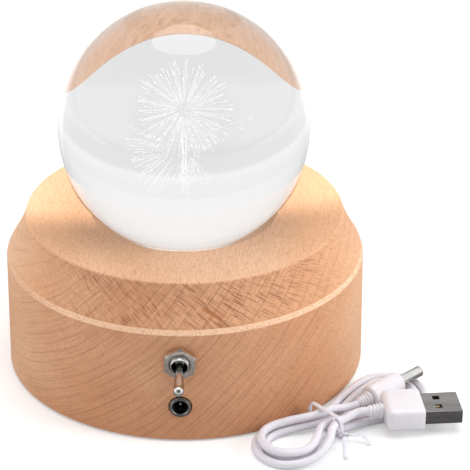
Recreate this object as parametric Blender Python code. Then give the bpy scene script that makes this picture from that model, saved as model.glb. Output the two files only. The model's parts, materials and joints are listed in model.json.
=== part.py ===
# Crystal ball lamp: a solid glass ball with an engraved picture, on a stepped turned beech base.
# The base holds a light board, a toggle switch and a small round power socket.
# A thin white power lead lies beside it, folded into a hank and held by a twist tie.
# Origin: on the axis of the base, on the table. Front (switch side) is -Y. Units are metres.

import math

import bmesh
import bpy
from mathutils import Matrix, Vector

# Clearances
gap = 0.0003                       # left between pieces that touch
fine_gap = 0.0001                  # left between the smallest pieces
overrun = 0.002                    # how far a cutter runs past what it cuts

# Glass ball
ball_radius = 0.0400
ball_seat_radius = 0.0224          # circle on which the ball rests
ball_window_clearance = 0.0012     # between the ball and the light window under it

# Turned base
base_radius = 0.0575
base_foot_height = 0.0006          # wood rim above the table
step_inset = 0.0064                # of the plateau's edge, from the side of the drum
step_height = 0.0148
foot_chamfer = 0.0006
ledge_width = 0.0007               # sloped ledge at the foot of the flank
ledge_rise = 0.0017
flank_hollow = 0.0005              # how far the flank curves in from a straight slope
flank_steps = 5
step_round = 0.0010
dish_clearance = 0.00295           # round the ball, where the dish opens in the plateau
dish_lip = 0.0007
dish_run = 0.0026
seat_outer_width = 0.0016          # of the seat, outside the circle of contact
seat_inner_width = 0.0009
well_depth = 0.0146                # plateau to the floor that carries the light window
window_ledge_width = 0.0035
window_ledge_thickness = 0.0040
boss_wall = 0.0025
cavity_wall = 0.0145
cavity_roof = 0.0106
rim_width = 0.0075                 # of the foot, outside the cover

# Cover and pad under the base
pad_inset = 0.0005
pad_thickness = 0.0015
cover_clearance = 0.0004
cover_thickness = 0.0030
cover_screw_count = 4
cover_screw_radius = 0.0013
cover_screw_head_radius = 0.0028
cover_screw_head_height = 0.0016
cover_screw_length = 0.0112
cover_screw_turn = math.radians(45)

# Light window, board and what is on it
window_thickness = 0.0020
window_clearance = 0.0005
board_margin = 0.0018              # the boss shows round the board
board_thickness = 0.0016
board_screw_inset = 0.0016
board_screw_count = 3
board_screw_radius = 0.0010
board_screw_head_radius = 0.0018
board_screw_head_height = 0.0012
board_screw_length = 0.0075
board_screw_turn = math.radians(-90)
emitter_side = 0.0050
emitter_thickness = 0.0016
emitter_lens_radius = 0.0019
emitter_lens_depth = 0.0003
emitter_circle = 0.0100
emitter_count = 4
resistor_length = 0.0032
resistor_width = 0.0016
resistor_thickness = 0.0006
resistor_spacing = 0.0060
resistor_row_offset = 0.0080

# Pocket behind the switch and the socket
pocket_wall = 0.0045               # wood left between pocket and front face, on the centre line
pocket_half_width = 0.0095
pocket_headroom = 0.0069           # above the axis of the switch
pocket_roof = 0.0020               # wood left between pocket and ledge
pocket_depth = 0.0160

# Toggle switch
switch_spacing = 0.0162            # above the socket
bushing_radius = 0.0030
bushing_bore_radius = 0.00245
bushing_proud = 0.0038             # beyond the front face of the wood
bushing_chamfer = 0.0003
thread_pitch = 0.00075
thread_depth = 0.00025
thread_count = 2
nut_width = 0.0096
nut_thickness = 0.0022
nut_turn = math.radians(-5)
washer_thickness = 0.0004
washer_radius = 0.0050
washer_tooth_count = 10
washer_tooth_depth = 0.0008
frame_sheet = 0.0004
frame_hole_radius = 0.0026
frame_leg_length = 0.0062
housing_half_width = 0.0039
housing_half_height = 0.0058
housing_depth = 0.0090
housing_wall = 0.0010
housing_floor = 0.0012
lever_pivot_depth = 0.0005         # pivot behind the front face of the wood
lever_throw = math.radians(22)
lever_ball_radius = 0.00212
lever_neck_radius = 0.00105
lever_mouth_radius = 0.00128
lever_end_radius = 0.00150
lever_tip_radius = 0.00165
lever_tip_distance = 0.0142        # pivot to centre of the round tip
lever_tail_radius = 0.0009
lever_tail_length = 0.0036
plunger_radius = 0.0011
plunger_end_distance = 0.0100
lever_pin_radius = 0.0005
lever_pin_clearance = 0.00015      # between the pin's ends and the bore of the bushing
bridge_thickness = 0.0004
bridge_half_width = 0.0016
bridge_overlap = math.radians(2.5) # past the middle terminal
terminal_thickness = 0.0005
terminal_width = 0.0020
terminal_spacing = 0.0039
terminal_tail = 0.0043
terminal_eye_radius = 0.0005
terminal_slot_clearance = 0.0003

# Power socket
socket_radius = 0.0034
socket_proud = 0.0008
socket_length = 0.0090             # behind the front face of the wood
socket_mouth_radius = 0.00235
socket_lip_thickness = 0.0015
socket_chamfer = 0.0007
socket_inner_radius = 0.00295
insulator_radius = 0.00265
insulator_bore_radius = 0.0021
insulator_back = 0.0012
socket_pin_radius = 0.00065
socket_pin_setback = 0.0015
socket_tail = 0.0030
leaf_thickness = 0.00035
leaf_width = 0.0014
leaf_length = 0.0066
leaf_distance = 0.00235
leaf_slot_clearance = 0.00012
socket_nut_width = 0.0100
socket_nut_clearance = 0.00183     # between the nut and the foot of the pocket
socket_nut_thickness = 0.0020

# Wires inside the base
wire_radius = 0.00065

# Power lead
cord_radius = 0.0013
loop_pitch = 0.00316               # centre to centre of strands side by side or stacked
hank_place = (0.0458, -0.0510)     # middle of the waist, on the table
hank_direction = math.radians(42)
near_bend_radius = 0.0076
near_bend_distance = 0.0150        # waist to centre of the near bends
far_bend_radius = 0.0090
far_bend_distance = 0.0290
far_bend_shift = 0.0020            # the far bends lean towards the lamp
waist_half_gap = 0.0026
waist_lift = 0.0012                # strands lie on the tie at the waist
table_clearance = 0.0001
turns = 2.5
points_per_turn = 24
bend_points = 6                    # of the points of one turn, those on one bend

# Twist tie
tie_radius = 0.00045
tie_side_clearance = 0.0003

# Type A plug of the lead
usb_place = (0.0582, -0.0496, 0.0070)
usb_yaw = math.radians(8)
usb_pitch = math.radians(1.5)
usb_body_length = 0.0120
usb_body_width = 0.0150
usb_body_thickness = 0.0070
usb_body_round = 0.0014
usb_shell_length = 0.0120
usb_shell_width = 0.0120
usb_shell_thickness = 0.0045
usb_shell_sheet = 0.0003
usb_shell_seat = 0.0020
usb_window_side = 0.0022
usb_window_spacing = 0.0052
usb_window_setback = 0.0050
usb_tongue_thickness = 0.0018
usb_tongue_setback = 0.0008
usb_contact_thickness = 0.0002
usb_contact_width = 0.0010
usb_contact_length = 0.0072
usb_contact_spacing = 0.0022
relief_length = 0.0050
relief_start_radius = 0.0018
relief_end_radius = 0.0025
relief_groove_depth = 0.0004
relief_rib_count = 4

# Round plug of the lead
dc_place = (0.0554, -0.0397, 0.0037)
dc_yaw = math.radians(42)
dc_pitch = math.radians(-3)
dc_body_length = 0.0130
dc_body_radius = 0.0037
dc_body_round = 0.0009
dc_barrel_length = 0.0095
dc_barrel_radius = 0.00175
dc_barrel_sheet = 0.00035
dc_barrel_seat = 0.0015
dc_insulator_sheet = 0.0003
dc_contact_sheet = 0.00015

base_steps = 72                    # flats round the base
round_steps = 48                   # round the other large pieces
fine_steps = 24                    # round the small ones

# Heights and depths that follow from the sizes above
front = -base_radius
step_radius = base_radius - step_inset
rebate_radius = base_radius - rim_width
cavity_radius = base_radius - cavity_wall
pad_radius = rebate_radius - pad_inset
cover_screw_circle = (rebate_radius + cavity_radius) / 2
cover_low = pad_thickness + gap
cover_high = cover_low + cover_thickness
rebate_height = cover_high + gap
socket_height = rebate_height + socket_nut_width / math.sqrt(3) + socket_nut_clearance
switch_height = socket_height + switch_spacing
pocket_height = switch_height + pocket_headroom
ledge_height = pocket_height + pocket_roof
plateau_height = ledge_height + step_height
well_floor_height = plateau_height - well_depth
cavity_height = plateau_height - cavity_roof
boss_height = well_floor_height - window_ledge_thickness
window_low = well_floor_height + gap
window_high = window_low + window_thickness
ball_centre_height = window_high + ball_window_clearance + ball_radius
ball_rise = ball_centre_height - plateau_height
dish_radius = math.sqrt(ball_radius ** 2 - ball_rise ** 2) + dish_clearance
seat_top_radius = ball_seat_radius + seat_outer_width
well_radius = ball_seat_radius - seat_inner_width
light_hole_radius = well_radius - window_ledge_width
boss_radius = well_radius + boss_wall
board_radius = boss_radius - board_margin
board_screw_circle = board_radius - board_screw_inset
board_high = boss_height - gap
board_low = board_high - board_thickness
emitter_low = board_high + gap
pocket_face = front + pocket_wall
pivot = Vector((0, front + lever_pivot_depth, switch_height))
socket_face = Vector((0, front, socket_height))
washer_face = pocket_face + gap
frame_face = washer_face + washer_thickness + gap
housing_face = frame_face + frame_sheet + gap
housing_end = housing_face + housing_depth
bridge_inner_radius = plunger_end_distance + fine_gap
bridge_outer_radius = bridge_inner_radius + bridge_thickness
terminal_end = housing_end + terminal_tail
socket_nut_face = pocket_face + gap
socket_tail_end = front + socket_length + insulator_back + gap + socket_tail
layer_low = cord_radius + table_clearance
layer_high = layer_low + loop_pitch

for leftover in list(bpy.data.objects):
    bpy.data.objects.remove(leftover, do_unlink=True)


# Materials

def finish(name, colour, roughness, metallic=0.0, transmission=0.0):
    """Return a named Principled material."""
    material = bpy.data.materials.new(name)
    material.use_nodes = True
    shader = material.node_tree.nodes["Principled BSDF"]
    shader.inputs["Base Color"].default_value = (*colour, 1.0)
    shader.inputs["Roughness"].default_value = roughness
    shader.inputs["Metallic"].default_value = metallic
    shader.inputs["Transmission Weight"].default_value = transmission
    material.diffuse_color = (*colour, 1.0)
    return material


glass = finish("clear glass", (0.95, 0.97, 0.98), 0.02, 0.0, 1.0)
beech = finish("oiled beech", (0.72, 0.47, 0.30), 0.55)
frosted = finish("frosted acrylic", (0.92, 0.92, 0.90), 0.45)
board_white = finish("white board", (0.88, 0.88, 0.86), 0.40)
emitter_yellow = finish("emitter", (0.95, 0.85, 0.45), 0.35)
part_black = finish("black chip", (0.03, 0.03, 0.03), 0.50)
zinc = finish("zinc plated steel", (0.62, 0.62, 0.60), 0.35, 1.0)
chrome = finish("chrome", (0.80, 0.80, 0.80), 0.12, 1.0)
felt = finish("black foam", (0.04, 0.04, 0.04), 0.90)
fibreboard = finish("cover board", (0.45, 0.31, 0.20), 0.70)
phenolic = finish("blue phenolic", (0.05, 0.13, 0.36), 0.45)
silver = finish("silvered brass", (0.75, 0.74, 0.70), 0.30, 1.0)
nylon = finish("white nylon", (0.85, 0.84, 0.80), 0.50)
socket_black = finish("black plastic", (0.02, 0.02, 0.02), 0.45)
brass = finish("brass", (0.72, 0.55, 0.25), 0.30, 1.0)
red = finish("red wire", (0.60, 0.03, 0.02), 0.45)
black = finish("black wire", (0.02, 0.02, 0.02), 0.45)
white = finish("white cord", (0.88, 0.88, 0.90), 0.40)


# Building blocks

def keep(name, mesh, material, smooth=True):
    """Add a mesh to the scene as one named piece."""
    mesh.materials.clear()
    mesh.materials.append(material)
    if smooth:
        mesh.shade_smooth()
        mesh.set_sharp_from_angle(angle=math.radians(35))
    piece = bpy.data.objects.new(name, mesh)
    bpy.context.scene.collection.objects.link(piece)
    return piece


def mesh_of(bm, name):
    """Close a bmesh into a mesh whose faces point out."""
    bmesh.ops.recalc_face_normals(bm, faces=bm.faces)
    if bm.calc_volume(signed=True) < 0:
        bmesh.ops.reverse_faces(bm, faces=bm.faces)
    mesh = bpy.data.meshes.new(name)
    bm.to_mesh(mesh)
    bm.free()
    return mesh


def turned(name, outline, closed, steps=fine_steps):
    """Spin an outline of (radius, height) points round Z. A closed outline leaves a hole."""
    bm = bmesh.new()
    corners = [bm.verts.new((radius, 0, height)) for radius, height in outline]
    edges = [bm.edges.new(pair) for pair in zip(corners, corners[1:])]
    if closed:
        edges.append(bm.edges.new((corners[-1], corners[0])))
    bmesh.ops.spin(bm, geom=corners + edges, cent=(0, 0, 0), axis=(0, 0, 1),
                   angle=math.tau, steps=steps, use_merge=True)
    bmesh.ops.remove_doubles(bm, verts=bm.verts, dist=fine_gap * 0.01)
    return mesh_of(bm, name)


def box(name, low, high):
    """Make a box from its low and high corners."""
    bm = bmesh.new()
    bmesh.ops.create_cube(bm, size=1)
    for vert in bm.verts:
        vert.co = Vector(low[i] if vert.co[i] < 0 else high[i] for i in range(3))
    return mesh_of(bm, name)


def prism(name, outline, low, high):
    """Extrude a flat outline of (x, y) points from low to high along Z."""
    bm = bmesh.new()
    face = bm.faces.new([bm.verts.new((x, y, low)) for x, y in outline])
    raised = bmesh.ops.extrude_face_region(bm, geom=[face])
    tops = [item for item in raised["geom"] if isinstance(item, bmesh.types.BMVert)]
    bmesh.ops.translate(bm, verts=tops, vec=(0, 0, high - low))
    return mesh_of(bm, name)


def copies(piece, places, holder=None):
    """Place one piece and its copies, which share its mesh, numbered from 1."""
    shared = piece.data
    stem = piece.name
    bpy.data.objects.remove(piece, do_unlink=True)
    made = []
    for number, place in enumerate(places, 1):
        twin = bpy.data.objects.new(stem + "_" + str(number), shared)
        twin.location = place
        twin.parent = holder
        bpy.context.scene.collection.objects.link(twin)
        made.append(twin)
    return made


def combine(piece, mesh, operation):
    """Cut a mesh out of a piece, or join it on, with an exact Boolean."""
    tool = bpy.data.objects.new(piece.name + "_tool", mesh)
    bpy.context.scene.collection.objects.link(tool)
    step = piece.modifiers.new(operation.lower(), 'BOOLEAN')
    step.operation = operation
    step.solver = 'EXACT'
    step.object = tool
    tool.matrix_world = piece.matrix_world.copy()
    bpy.context.view_layer.update()
    evaluated = piece.evaluated_get(bpy.context.evaluated_depsgraph_get())
    result = bpy.data.meshes.new_from_object(evaluated)
    piece.modifiers.clear()
    piece.data = result
    bpy.data.objects.remove(tool, do_unlink=True)


def arc(centre, radius, start, end, steps):
    """Return points on an arc in an outline, angles in radians."""
    turn = [start + (end - start) * i / steps for i in range(steps + 1)]
    return [(centre[0] + radius * math.cos(a), centre[1] + radius * math.sin(a)) for a in turn]


def ring_places(radius, count, turn):
    """Return count points evenly round a circle."""
    angles = [turn + math.tau * i / count for i in range(count)]
    return [(radius * math.cos(a), radius * math.sin(a)) for a in angles]


def smooth_route(points, spacing):
    """Return evenly spaced points on a smooth curve through the route's own points."""
    ends = [points[0] * 2 - points[1]] + points + [points[-1] * 2 - points[-2]]
    fine = []
    fine_steps_each = 16
    for before, start, end, after in zip(ends, ends[1:], ends[2:], ends[3:]):
        for i in range(fine_steps_each):
            t = i / fine_steps_each
            fine.append((start * 2 + (end - before) * t
                         + (before * 2 - start * 5 + end * 4 - after) * t * t
                         + (start * 3 - before - end * 3 + after) * t * t * t) / 2)
    fine.append(points[-1])
    travelled = [0.0]
    for start, end in zip(fine, fine[1:]):
        travelled.append(travelled[-1] + (end - start).length)
    count = max(2, round(travelled[-1] / spacing))
    route = []
    index = 0
    for i in range(count + 1):
        wanted = travelled[-1] * i / count
        while index < len(fine) - 2 and travelled[index + 1] < wanted:
            index += 1
        share = (wanted - travelled[index]) / (travelled[index + 1] - travelled[index])
        route.append(fine[index].lerp(fine[index + 1], share))
    return route


def run_between(start, start_way, middle, end, end_way, straight, spacing):
    """Return a route that is straight at both ends and smooth through its middle points."""
    near = [start + start_way * straight * i / 2 for i in range(3)]
    far = [end + end_way * straight * i / 2 for i in (2, 1, 0)]
    clear = straight + spacing / 2
    between = [point for point in smooth_route(near + middle + far, spacing)
               if min((point - start).length, (point - end).length) > clear]
    return [start, near[-1]] + between + [far[0], end]


def tube(name, route, radius, material, resolution):
    """Make a round tube with flat ends along a list of points."""
    curve = bpy.data.curves.new(name, 'CURVE')
    curve.dimensions = '3D'
    curve.bevel_depth = radius
    curve.bevel_resolution = resolution
    curve.use_fill_caps = True
    spline = curve.splines.new('POLY')
    spline.points.add(len(route) - 1)
    for place, point in zip(spline.points, route):
        place.co = (*point, 1)
    curve.materials.append(material)
    piece = bpy.data.objects.new(name, curve)
    bpy.context.scene.collection.objects.link(piece)
    return piece


def empty(name, location, rotation):
    """Add an empty that carries pieces."""
    holder = bpy.data.objects.new(name, None)
    holder.location = location
    holder.rotation_euler = rotation
    bpy.context.scene.collection.objects.link(holder)
    bpy.context.view_layer.update()
    return holder


def carry(holder, *pieces):
    """Parent pieces to an empty, in its own frame."""
    for piece in pieces:
        piece.parent = holder


def hexagon(width, turn=0.0):
    """Return the corners of a hexagon, a corner up, of the given width across flats."""
    radius = width / math.sqrt(3)
    return ring_places(radius, 6, turn + math.pi / 2)


# Glass ball

def make_ball():
    """The solid glass ball, origin at its centre."""
    bm = bmesh.new()
    bmesh.ops.create_uvsphere(bm, u_segments=round_steps, v_segments=round_steps // 2,
                              radius=ball_radius)
    ball = keep("crystal_ball", mesh_of(bm, "crystal_ball"), glass)
    ball.location = (0, 0, ball_centre_height)


# Turned base

def seat_height(radius):
    """Height of the cone that touches the ball along its seat circle, less the gap."""
    drop = math.sqrt(ball_radius ** 2 - ball_seat_radius ** 2)
    slope = ball_seat_radius / drop
    clearance = gap * ball_radius / drop
    return ball_centre_height - drop - clearance + slope * (radius - ball_seat_radius)


def make_base():
    """The beech base: drum, ledge, step, dish, light well and cavity, turned in one outline."""
    corner = math.pi / 2
    rim = base_foot_height
    outline = [(rebate_radius, rim), (base_radius - foot_chamfer, rim),
               (base_radius, rim + foot_chamfer), (base_radius, ledge_height)]
    foot = (base_radius - ledge_width, ledge_height + ledge_rise)
    top = (step_radius, plateau_height - step_round)
    for i in range(flank_steps):
        share = i / flank_steps
        hollow = 4 * flank_hollow * share * (1 - share)
        outline += [(foot[0] + (top[0] - foot[0]) * share - hollow,
                     foot[1] + (top[1] - foot[1]) * share)]
    outline += arc((step_radius - step_round, plateau_height - step_round), step_round,
                   0, corner, 4)
    outline += [(dish_radius, plateau_height), (dish_radius - dish_lip, plateau_height - dish_lip),
                (dish_radius - dish_run, plateau_height - dish_run + dish_lip),
                (seat_top_radius, seat_height(seat_top_radius)),
                (well_radius, seat_height(well_radius)),
                (well_radius, well_floor_height), (light_hole_radius, well_floor_height),
                (light_hole_radius, boss_height), (boss_radius, boss_height),
                (boss_radius, cavity_height), (cavity_radius, cavity_height),
                (cavity_radius, rebate_height), (rebate_radius, rebate_height)]
    base = keep("wooden_base", turned("wooden_base", outline, True, base_steps), beech)
    pocket = box("pocket", (-pocket_half_width, pocket_face, rebate_height),
                 (pocket_half_width, pocket_face + pocket_depth, pocket_height))
    combine(base, pocket, 'DIFFERENCE')
    length = pocket_wall + overrun * 2
    for height, radius in ((switch_height, bushing_radius), (socket_height, socket_radius)):
        drill = turned("drill", [(0, 0), (radius + gap, 0), (radius + gap, length), (0, length)],
                       False)
        drill.transform(Matrix.Translation((0, pocket_face + overrun, height))
                        @ Matrix.Rotation(corner, 4, 'X'))
        combine(base, drill, 'DIFFERENCE')
    for x, y in ring_places(cover_screw_circle, cover_screw_count, cover_screw_turn):
        combine(base, pilot(cover_screw_radius, x, y, rebate_height - overrun,
                            cover_low + cover_screw_length + gap * 2), 'DIFFERENCE')
    for x, y in ring_places(board_screw_circle, board_screw_count, board_screw_turn):
        combine(base, pilot(board_screw_radius, x, y, boss_height - overrun,
                            board_low + board_screw_length + gap * 2), 'DIFFERENCE')
    base.data.shade_smooth()
    base.data.set_sharp_from_angle(angle=math.radians(35))


def pilot(radius, x, y, low, high):
    """A cutter for a screw's hole."""
    hole = turned("pilot", [(0, low), (radius + gap, low), (radius + gap, high), (0, high)],
                  False, fine_steps // 2)
    hole.transform(Matrix.Translation((x, y, 0)))
    return hole


def screw(radius, head_radius, head_height, length, steps):
    """A countersunk screw, head down, its head's face at height zero."""
    point = radius * 1.5
    return turned("screw", [(0, 0), (head_radius, 0), (radius, head_height),
                            (radius, length - point), (0, length)], False, steps)


def make_underside():
    """Foam pad, cover and cover screws."""
    keep("foam_pad", turned("foam_pad", [(0, 0), (pad_radius, 0), (pad_radius, pad_thickness),
                                         (0, pad_thickness)], False, round_steps), felt)
    radius = rebate_radius - cover_clearance
    cover = keep("base_cover", turned("base_cover", [(0, cover_low), (radius, cover_low),
                                                     (radius, cover_high), (0, cover_high)],
                                      False, round_steps), fibreboard)
    places = ring_places(cover_screw_circle, cover_screw_count, cover_screw_turn)
    sink = screw(cover_screw_radius + gap, cover_screw_head_radius + gap,
                 cover_screw_head_height, cover_screw_length, fine_steps // 2)
    shape = screw(cover_screw_radius, cover_screw_head_radius, cover_screw_head_height,
                  cover_screw_length, fine_steps // 2)
    for x, y in places:
        cutter = sink.copy()
        cutter.transform(Matrix.Translation((x, y, cover_low - fine_gap)))
        combine(cover, cutter, 'DIFFERENCE')
    copies(keep("base_cover_screw", shape, zinc), [(x, y, cover_low) for x, y in places])


# Light

def make_light():
    """Frosted window, board, emitters, resistors and the board's screws."""
    radius = well_radius - window_clearance
    keep("light_window", turned("light_window", [(0, window_low), (radius, window_low),
                                                 (radius, window_high), (0, window_high)],
                                False, round_steps), frosted)
    board = keep("led_board", turned("led_board", [(0, board_low), (board_radius, board_low),
                                                   (board_radius, board_high), (0, board_high)],
                                     False, round_steps), board_white)
    places = ring_places(board_screw_circle, board_screw_count, board_screw_turn)
    for x, y in places:
        combine(board, pilot(board_screw_radius, x, y, board_low - overrun,
                             board_high + overrun), 'DIFFERENCE')
    head_low = board_low - gap - board_screw_head_height
    outline = [(0, 0), (board_screw_head_radius, 0),
               (board_screw_head_radius, board_screw_head_height),
               (board_screw_radius, board_screw_head_height),
               (board_screw_radius, board_screw_length), (0, board_screw_length)]
    shape = turned("board_screw", outline, False, fine_steps // 2)
    copies(keep("led_board_screw", shape, zinc), [(x, y, head_low) for x, y in places])

    half = emitter_side / 2
    emitter = keep("led_emitter", box("emitter", (-half, -half, 0),
                                      (half, half, emitter_thickness)), emitter_yellow, False)
    lens = turned("lens", [(0, emitter_thickness - emitter_lens_depth),
                           (emitter_lens_radius, emitter_thickness - emitter_lens_depth),
                           (emitter_lens_radius, emitter_thickness + overrun),
                           (0, emitter_thickness + overrun)], False, fine_steps // 2)
    combine(emitter, lens, 'DIFFERENCE')
    places = [(0, 0)] + ring_places(emitter_circle, emitter_count, math.pi / 4)
    copies(emitter, [(x, y, emitter_low) for x, y in places])

    half_length = resistor_length / 2
    half_width = resistor_width / 2
    chip = box("chip", (-half_length, -half_width, -resistor_thickness),
               (half_length, half_width, 0))
    copies(keep("board_resistor", chip, part_black, False),
           [(i * resistor_spacing, resistor_row_offset, board_low - gap) for i in (-1, 1)])


# Toggle switch. Outlines are turned round Z and laid down so that Z points out of the front.

def outward(mesh, place):
    """Lay a turned mesh down at a place, its Z pointing out of the front."""
    mesh.transform(Matrix.Translation(place) @ Matrix.Rotation(math.pi / 2, 4, 'X'))
    return mesh


def make_switch():
    """Bushing, nut, washer, frame, housing, terminals, lever, plunger and bridge contact."""
    mouth = bushing_proud + lever_pivot_depth
    inner = pivot.y - (frame_face - gap)
    nut_back = lever_pivot_depth + gap
    nut_front = nut_back + nut_thickness
    outline = [(bushing_bore_radius, inner), (bushing_radius, inner), (bushing_radius, nut_front)]
    for i in range(thread_count):
        crest = nut_front + thread_pitch * (i + 0.5)
        outline += [(bushing_radius - thread_depth, crest - thread_pitch / 4),
                    (bushing_radius, crest)]
    outline += [(bushing_radius - bushing_chamfer, mouth), (bushing_bore_radius, mouth)]
    keep("switch_bushing", outward(turned("switch_bushing", outline, True), pivot), chrome)

    nut = keep("switch_nut", prism("switch_nut", hexagon(nut_width, nut_turn), nut_back,
                                   nut_front), chrome, False)
    bore = bushing_radius + gap
    combine(nut, turned("bore", [(0, nut_back - overrun), (bore, nut_back - overrun),
                                 (bore, nut_front + overrun), (0, nut_front + overrun)], False),
            'DIFFERENCE')
    nut.data = outward(nut.data, pivot)

    teeth = []
    for i in range(washer_tooth_count):
        start = math.tau * i / washer_tooth_count
        step = math.tau / washer_tooth_count / 4
        for j, radius in enumerate((washer_radius, washer_radius,
                                    washer_radius - washer_tooth_depth,
                                    washer_radius - washer_tooth_depth)):
            teeth.append((radius * math.cos(start + j * step), radius * math.sin(start + j * step)))
    low = pivot.y - washer_face - washer_thickness
    washer = keep("switch_lock_washer", prism("switch_lock_washer", teeth, low,
                                              low + washer_thickness), zinc, False)
    combine(washer, turned("bore", [(0, low - overrun), (bore, low - overrun),
                                    (bore, low + overrun), (0, low + overrun)], False),
            'DIFFERENCE')
    washer.data = outward(washer.data, pivot)

    leg = housing_half_height + gap
    frame = keep("switch_frame", box("switch_frame",
                                     (-housing_half_width, frame_face,
                                      switch_height - leg - frame_sheet),
                                     (housing_half_width, frame_face + frame_leg_length,
                                      switch_height + leg + frame_sheet)), zinc, False)
    combine(frame, box("inside", (-housing_half_width - overrun, frame_face + frame_sheet,
                                  switch_height - leg),
                       (housing_half_width + overrun, frame_face + frame_leg_length + overrun,
                        switch_height + leg)), 'DIFFERENCE')
    hole = turned("hole", [(0, -overrun), (frame_hole_radius, -overrun),
                           (frame_hole_radius, overrun), (0, overrun)], False)
    combine(frame, outward(hole, Vector((0, frame_face, switch_height))), 'DIFFERENCE')

    housing = keep("switch_housing", box("switch_housing",
                                         (-housing_half_width, housing_face,
                                          switch_height - housing_half_height),
                                         (housing_half_width, housing_end,
                                          switch_height + housing_half_height)), phenolic, False)
    inside_half_width = housing_half_width - housing_wall
    inside_half_height = housing_half_height - housing_wall
    combine(housing, box("inside", (-inside_half_width, housing_face - overrun,
                                    switch_height - inside_half_height),
                         (inside_half_width, housing_end - housing_floor,
                          switch_height + inside_half_height)), 'DIFFERENCE')
    reach = bridge_outer_radius + gap
    nearest = terminal_spacing - terminal_thickness / 2
    middle_tip = pivot.y + reach
    outer_tip = pivot.y + math.sqrt(reach ** 2 - nearest ** 2)
    for i, name in ((-1, "terminal_low"), (0, "terminal_middle"), (1, "terminal_high")):
        height = switch_height + i * terminal_spacing
        half = terminal_width / 2
        slot = terminal_slot_clearance
        combine(housing, box("slot", (-half - slot, housing_end - housing_floor - overrun,
                                      height - terminal_thickness / 2 - slot),
                             (half + slot, housing_end + overrun,
                              height + terminal_thickness / 2 + slot)), 'DIFFERENCE')
        tip = middle_tip if i == 0 else outer_tip
        blade = keep(name, box(name, (-half, tip, height - terminal_thickness / 2),
                               (half, terminal_end, height + terminal_thickness / 2)),
                     silver, False)
        eye = turned("eye", [(0, height - overrun), (terminal_eye_radius, height - overrun),
                             (terminal_eye_radius, height + overrun), (0, height + overrun)],
                     False, fine_steps // 2)
        eye.transform(Matrix.Translation((0, terminal_end - terminal_width / 2, 0)))
        combine(blade, eye, 'DIFFERENCE')

    # The lever points down at rest, so its axis leans by half its throw.
    lever_holder = empty("toggle_axis", pivot, (math.pi / 2 + lever_throw / 2, 0, 0))
    neck_start = math.asin(lever_neck_radius / lever_ball_radius)
    ball_side = arc((0, 0), lever_ball_radius,
                    -math.acos(lever_tail_radius / lever_ball_radius),
                    math.pi / 2 - neck_start, 6)
    tip_side = arc((0, lever_tip_distance), lever_tip_radius, -math.pi / 6, math.pi / 2, 5)
    outline = [(0, -lever_tail_length), (lever_tail_radius, -lever_tail_length)]
    outline += ball_side
    outline += [(lever_mouth_radius, mouth),
                (lever_end_radius, lever_tip_distance - lever_tip_radius * 1.5)]
    outline += tip_side[:-1]
    outline += [(0, lever_tip_distance + lever_tip_radius)]
    lever = keep("toggle_lever", turned("toggle_lever", outline, False), chrome)
    plunger_start = -lever_tail_length - fine_gap
    end = -plunger_end_distance
    outline = [(0, end), (plunger_radius / 2, end), (plunger_radius, end + plunger_radius / 2),
               (plunger_radius, plunger_start), (0, plunger_start)]
    plunger = keep("toggle_plunger", turned("toggle_plunger", outline, False, fine_steps // 2),
                   nylon)
    half_pin = bushing_bore_radius - lever_pin_clearance
    pin = turned("pin", [(0, -half_pin), (lever_pin_radius, -half_pin),
                         (lever_pin_radius, half_pin), (0, half_pin)], False, fine_steps // 2)
    combine(lever, forward(pin), 'UNION')

    # The bridge sweeps over the terminals on an arc round the lever's pivot. It joins the
    # middle one to the high one at rest, and to the low one when the lever is up.
    half_angle = lever_throw / 2 + bridge_overlap
    middle_angle = -math.pi / 2
    outline = arc((0, 0), bridge_outer_radius, middle_angle - half_angle,
                  middle_angle + half_angle, 6)
    outline += arc((0, 0), bridge_inner_radius, middle_angle + half_angle,
                   middle_angle - half_angle, 6)
    strip = prism("contact_bridge", outline, -bridge_half_width, bridge_half_width)
    strip.transform(Matrix(((0, 0, 1, 0), (1, 0, 0, 0), (0, 1, 0, 0), (0, 0, 0, 1))))
    bridge = keep("contact_bridge", strip, silver, False)
    carry(lever_holder, lever, plunger, bridge)


# Power socket

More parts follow.
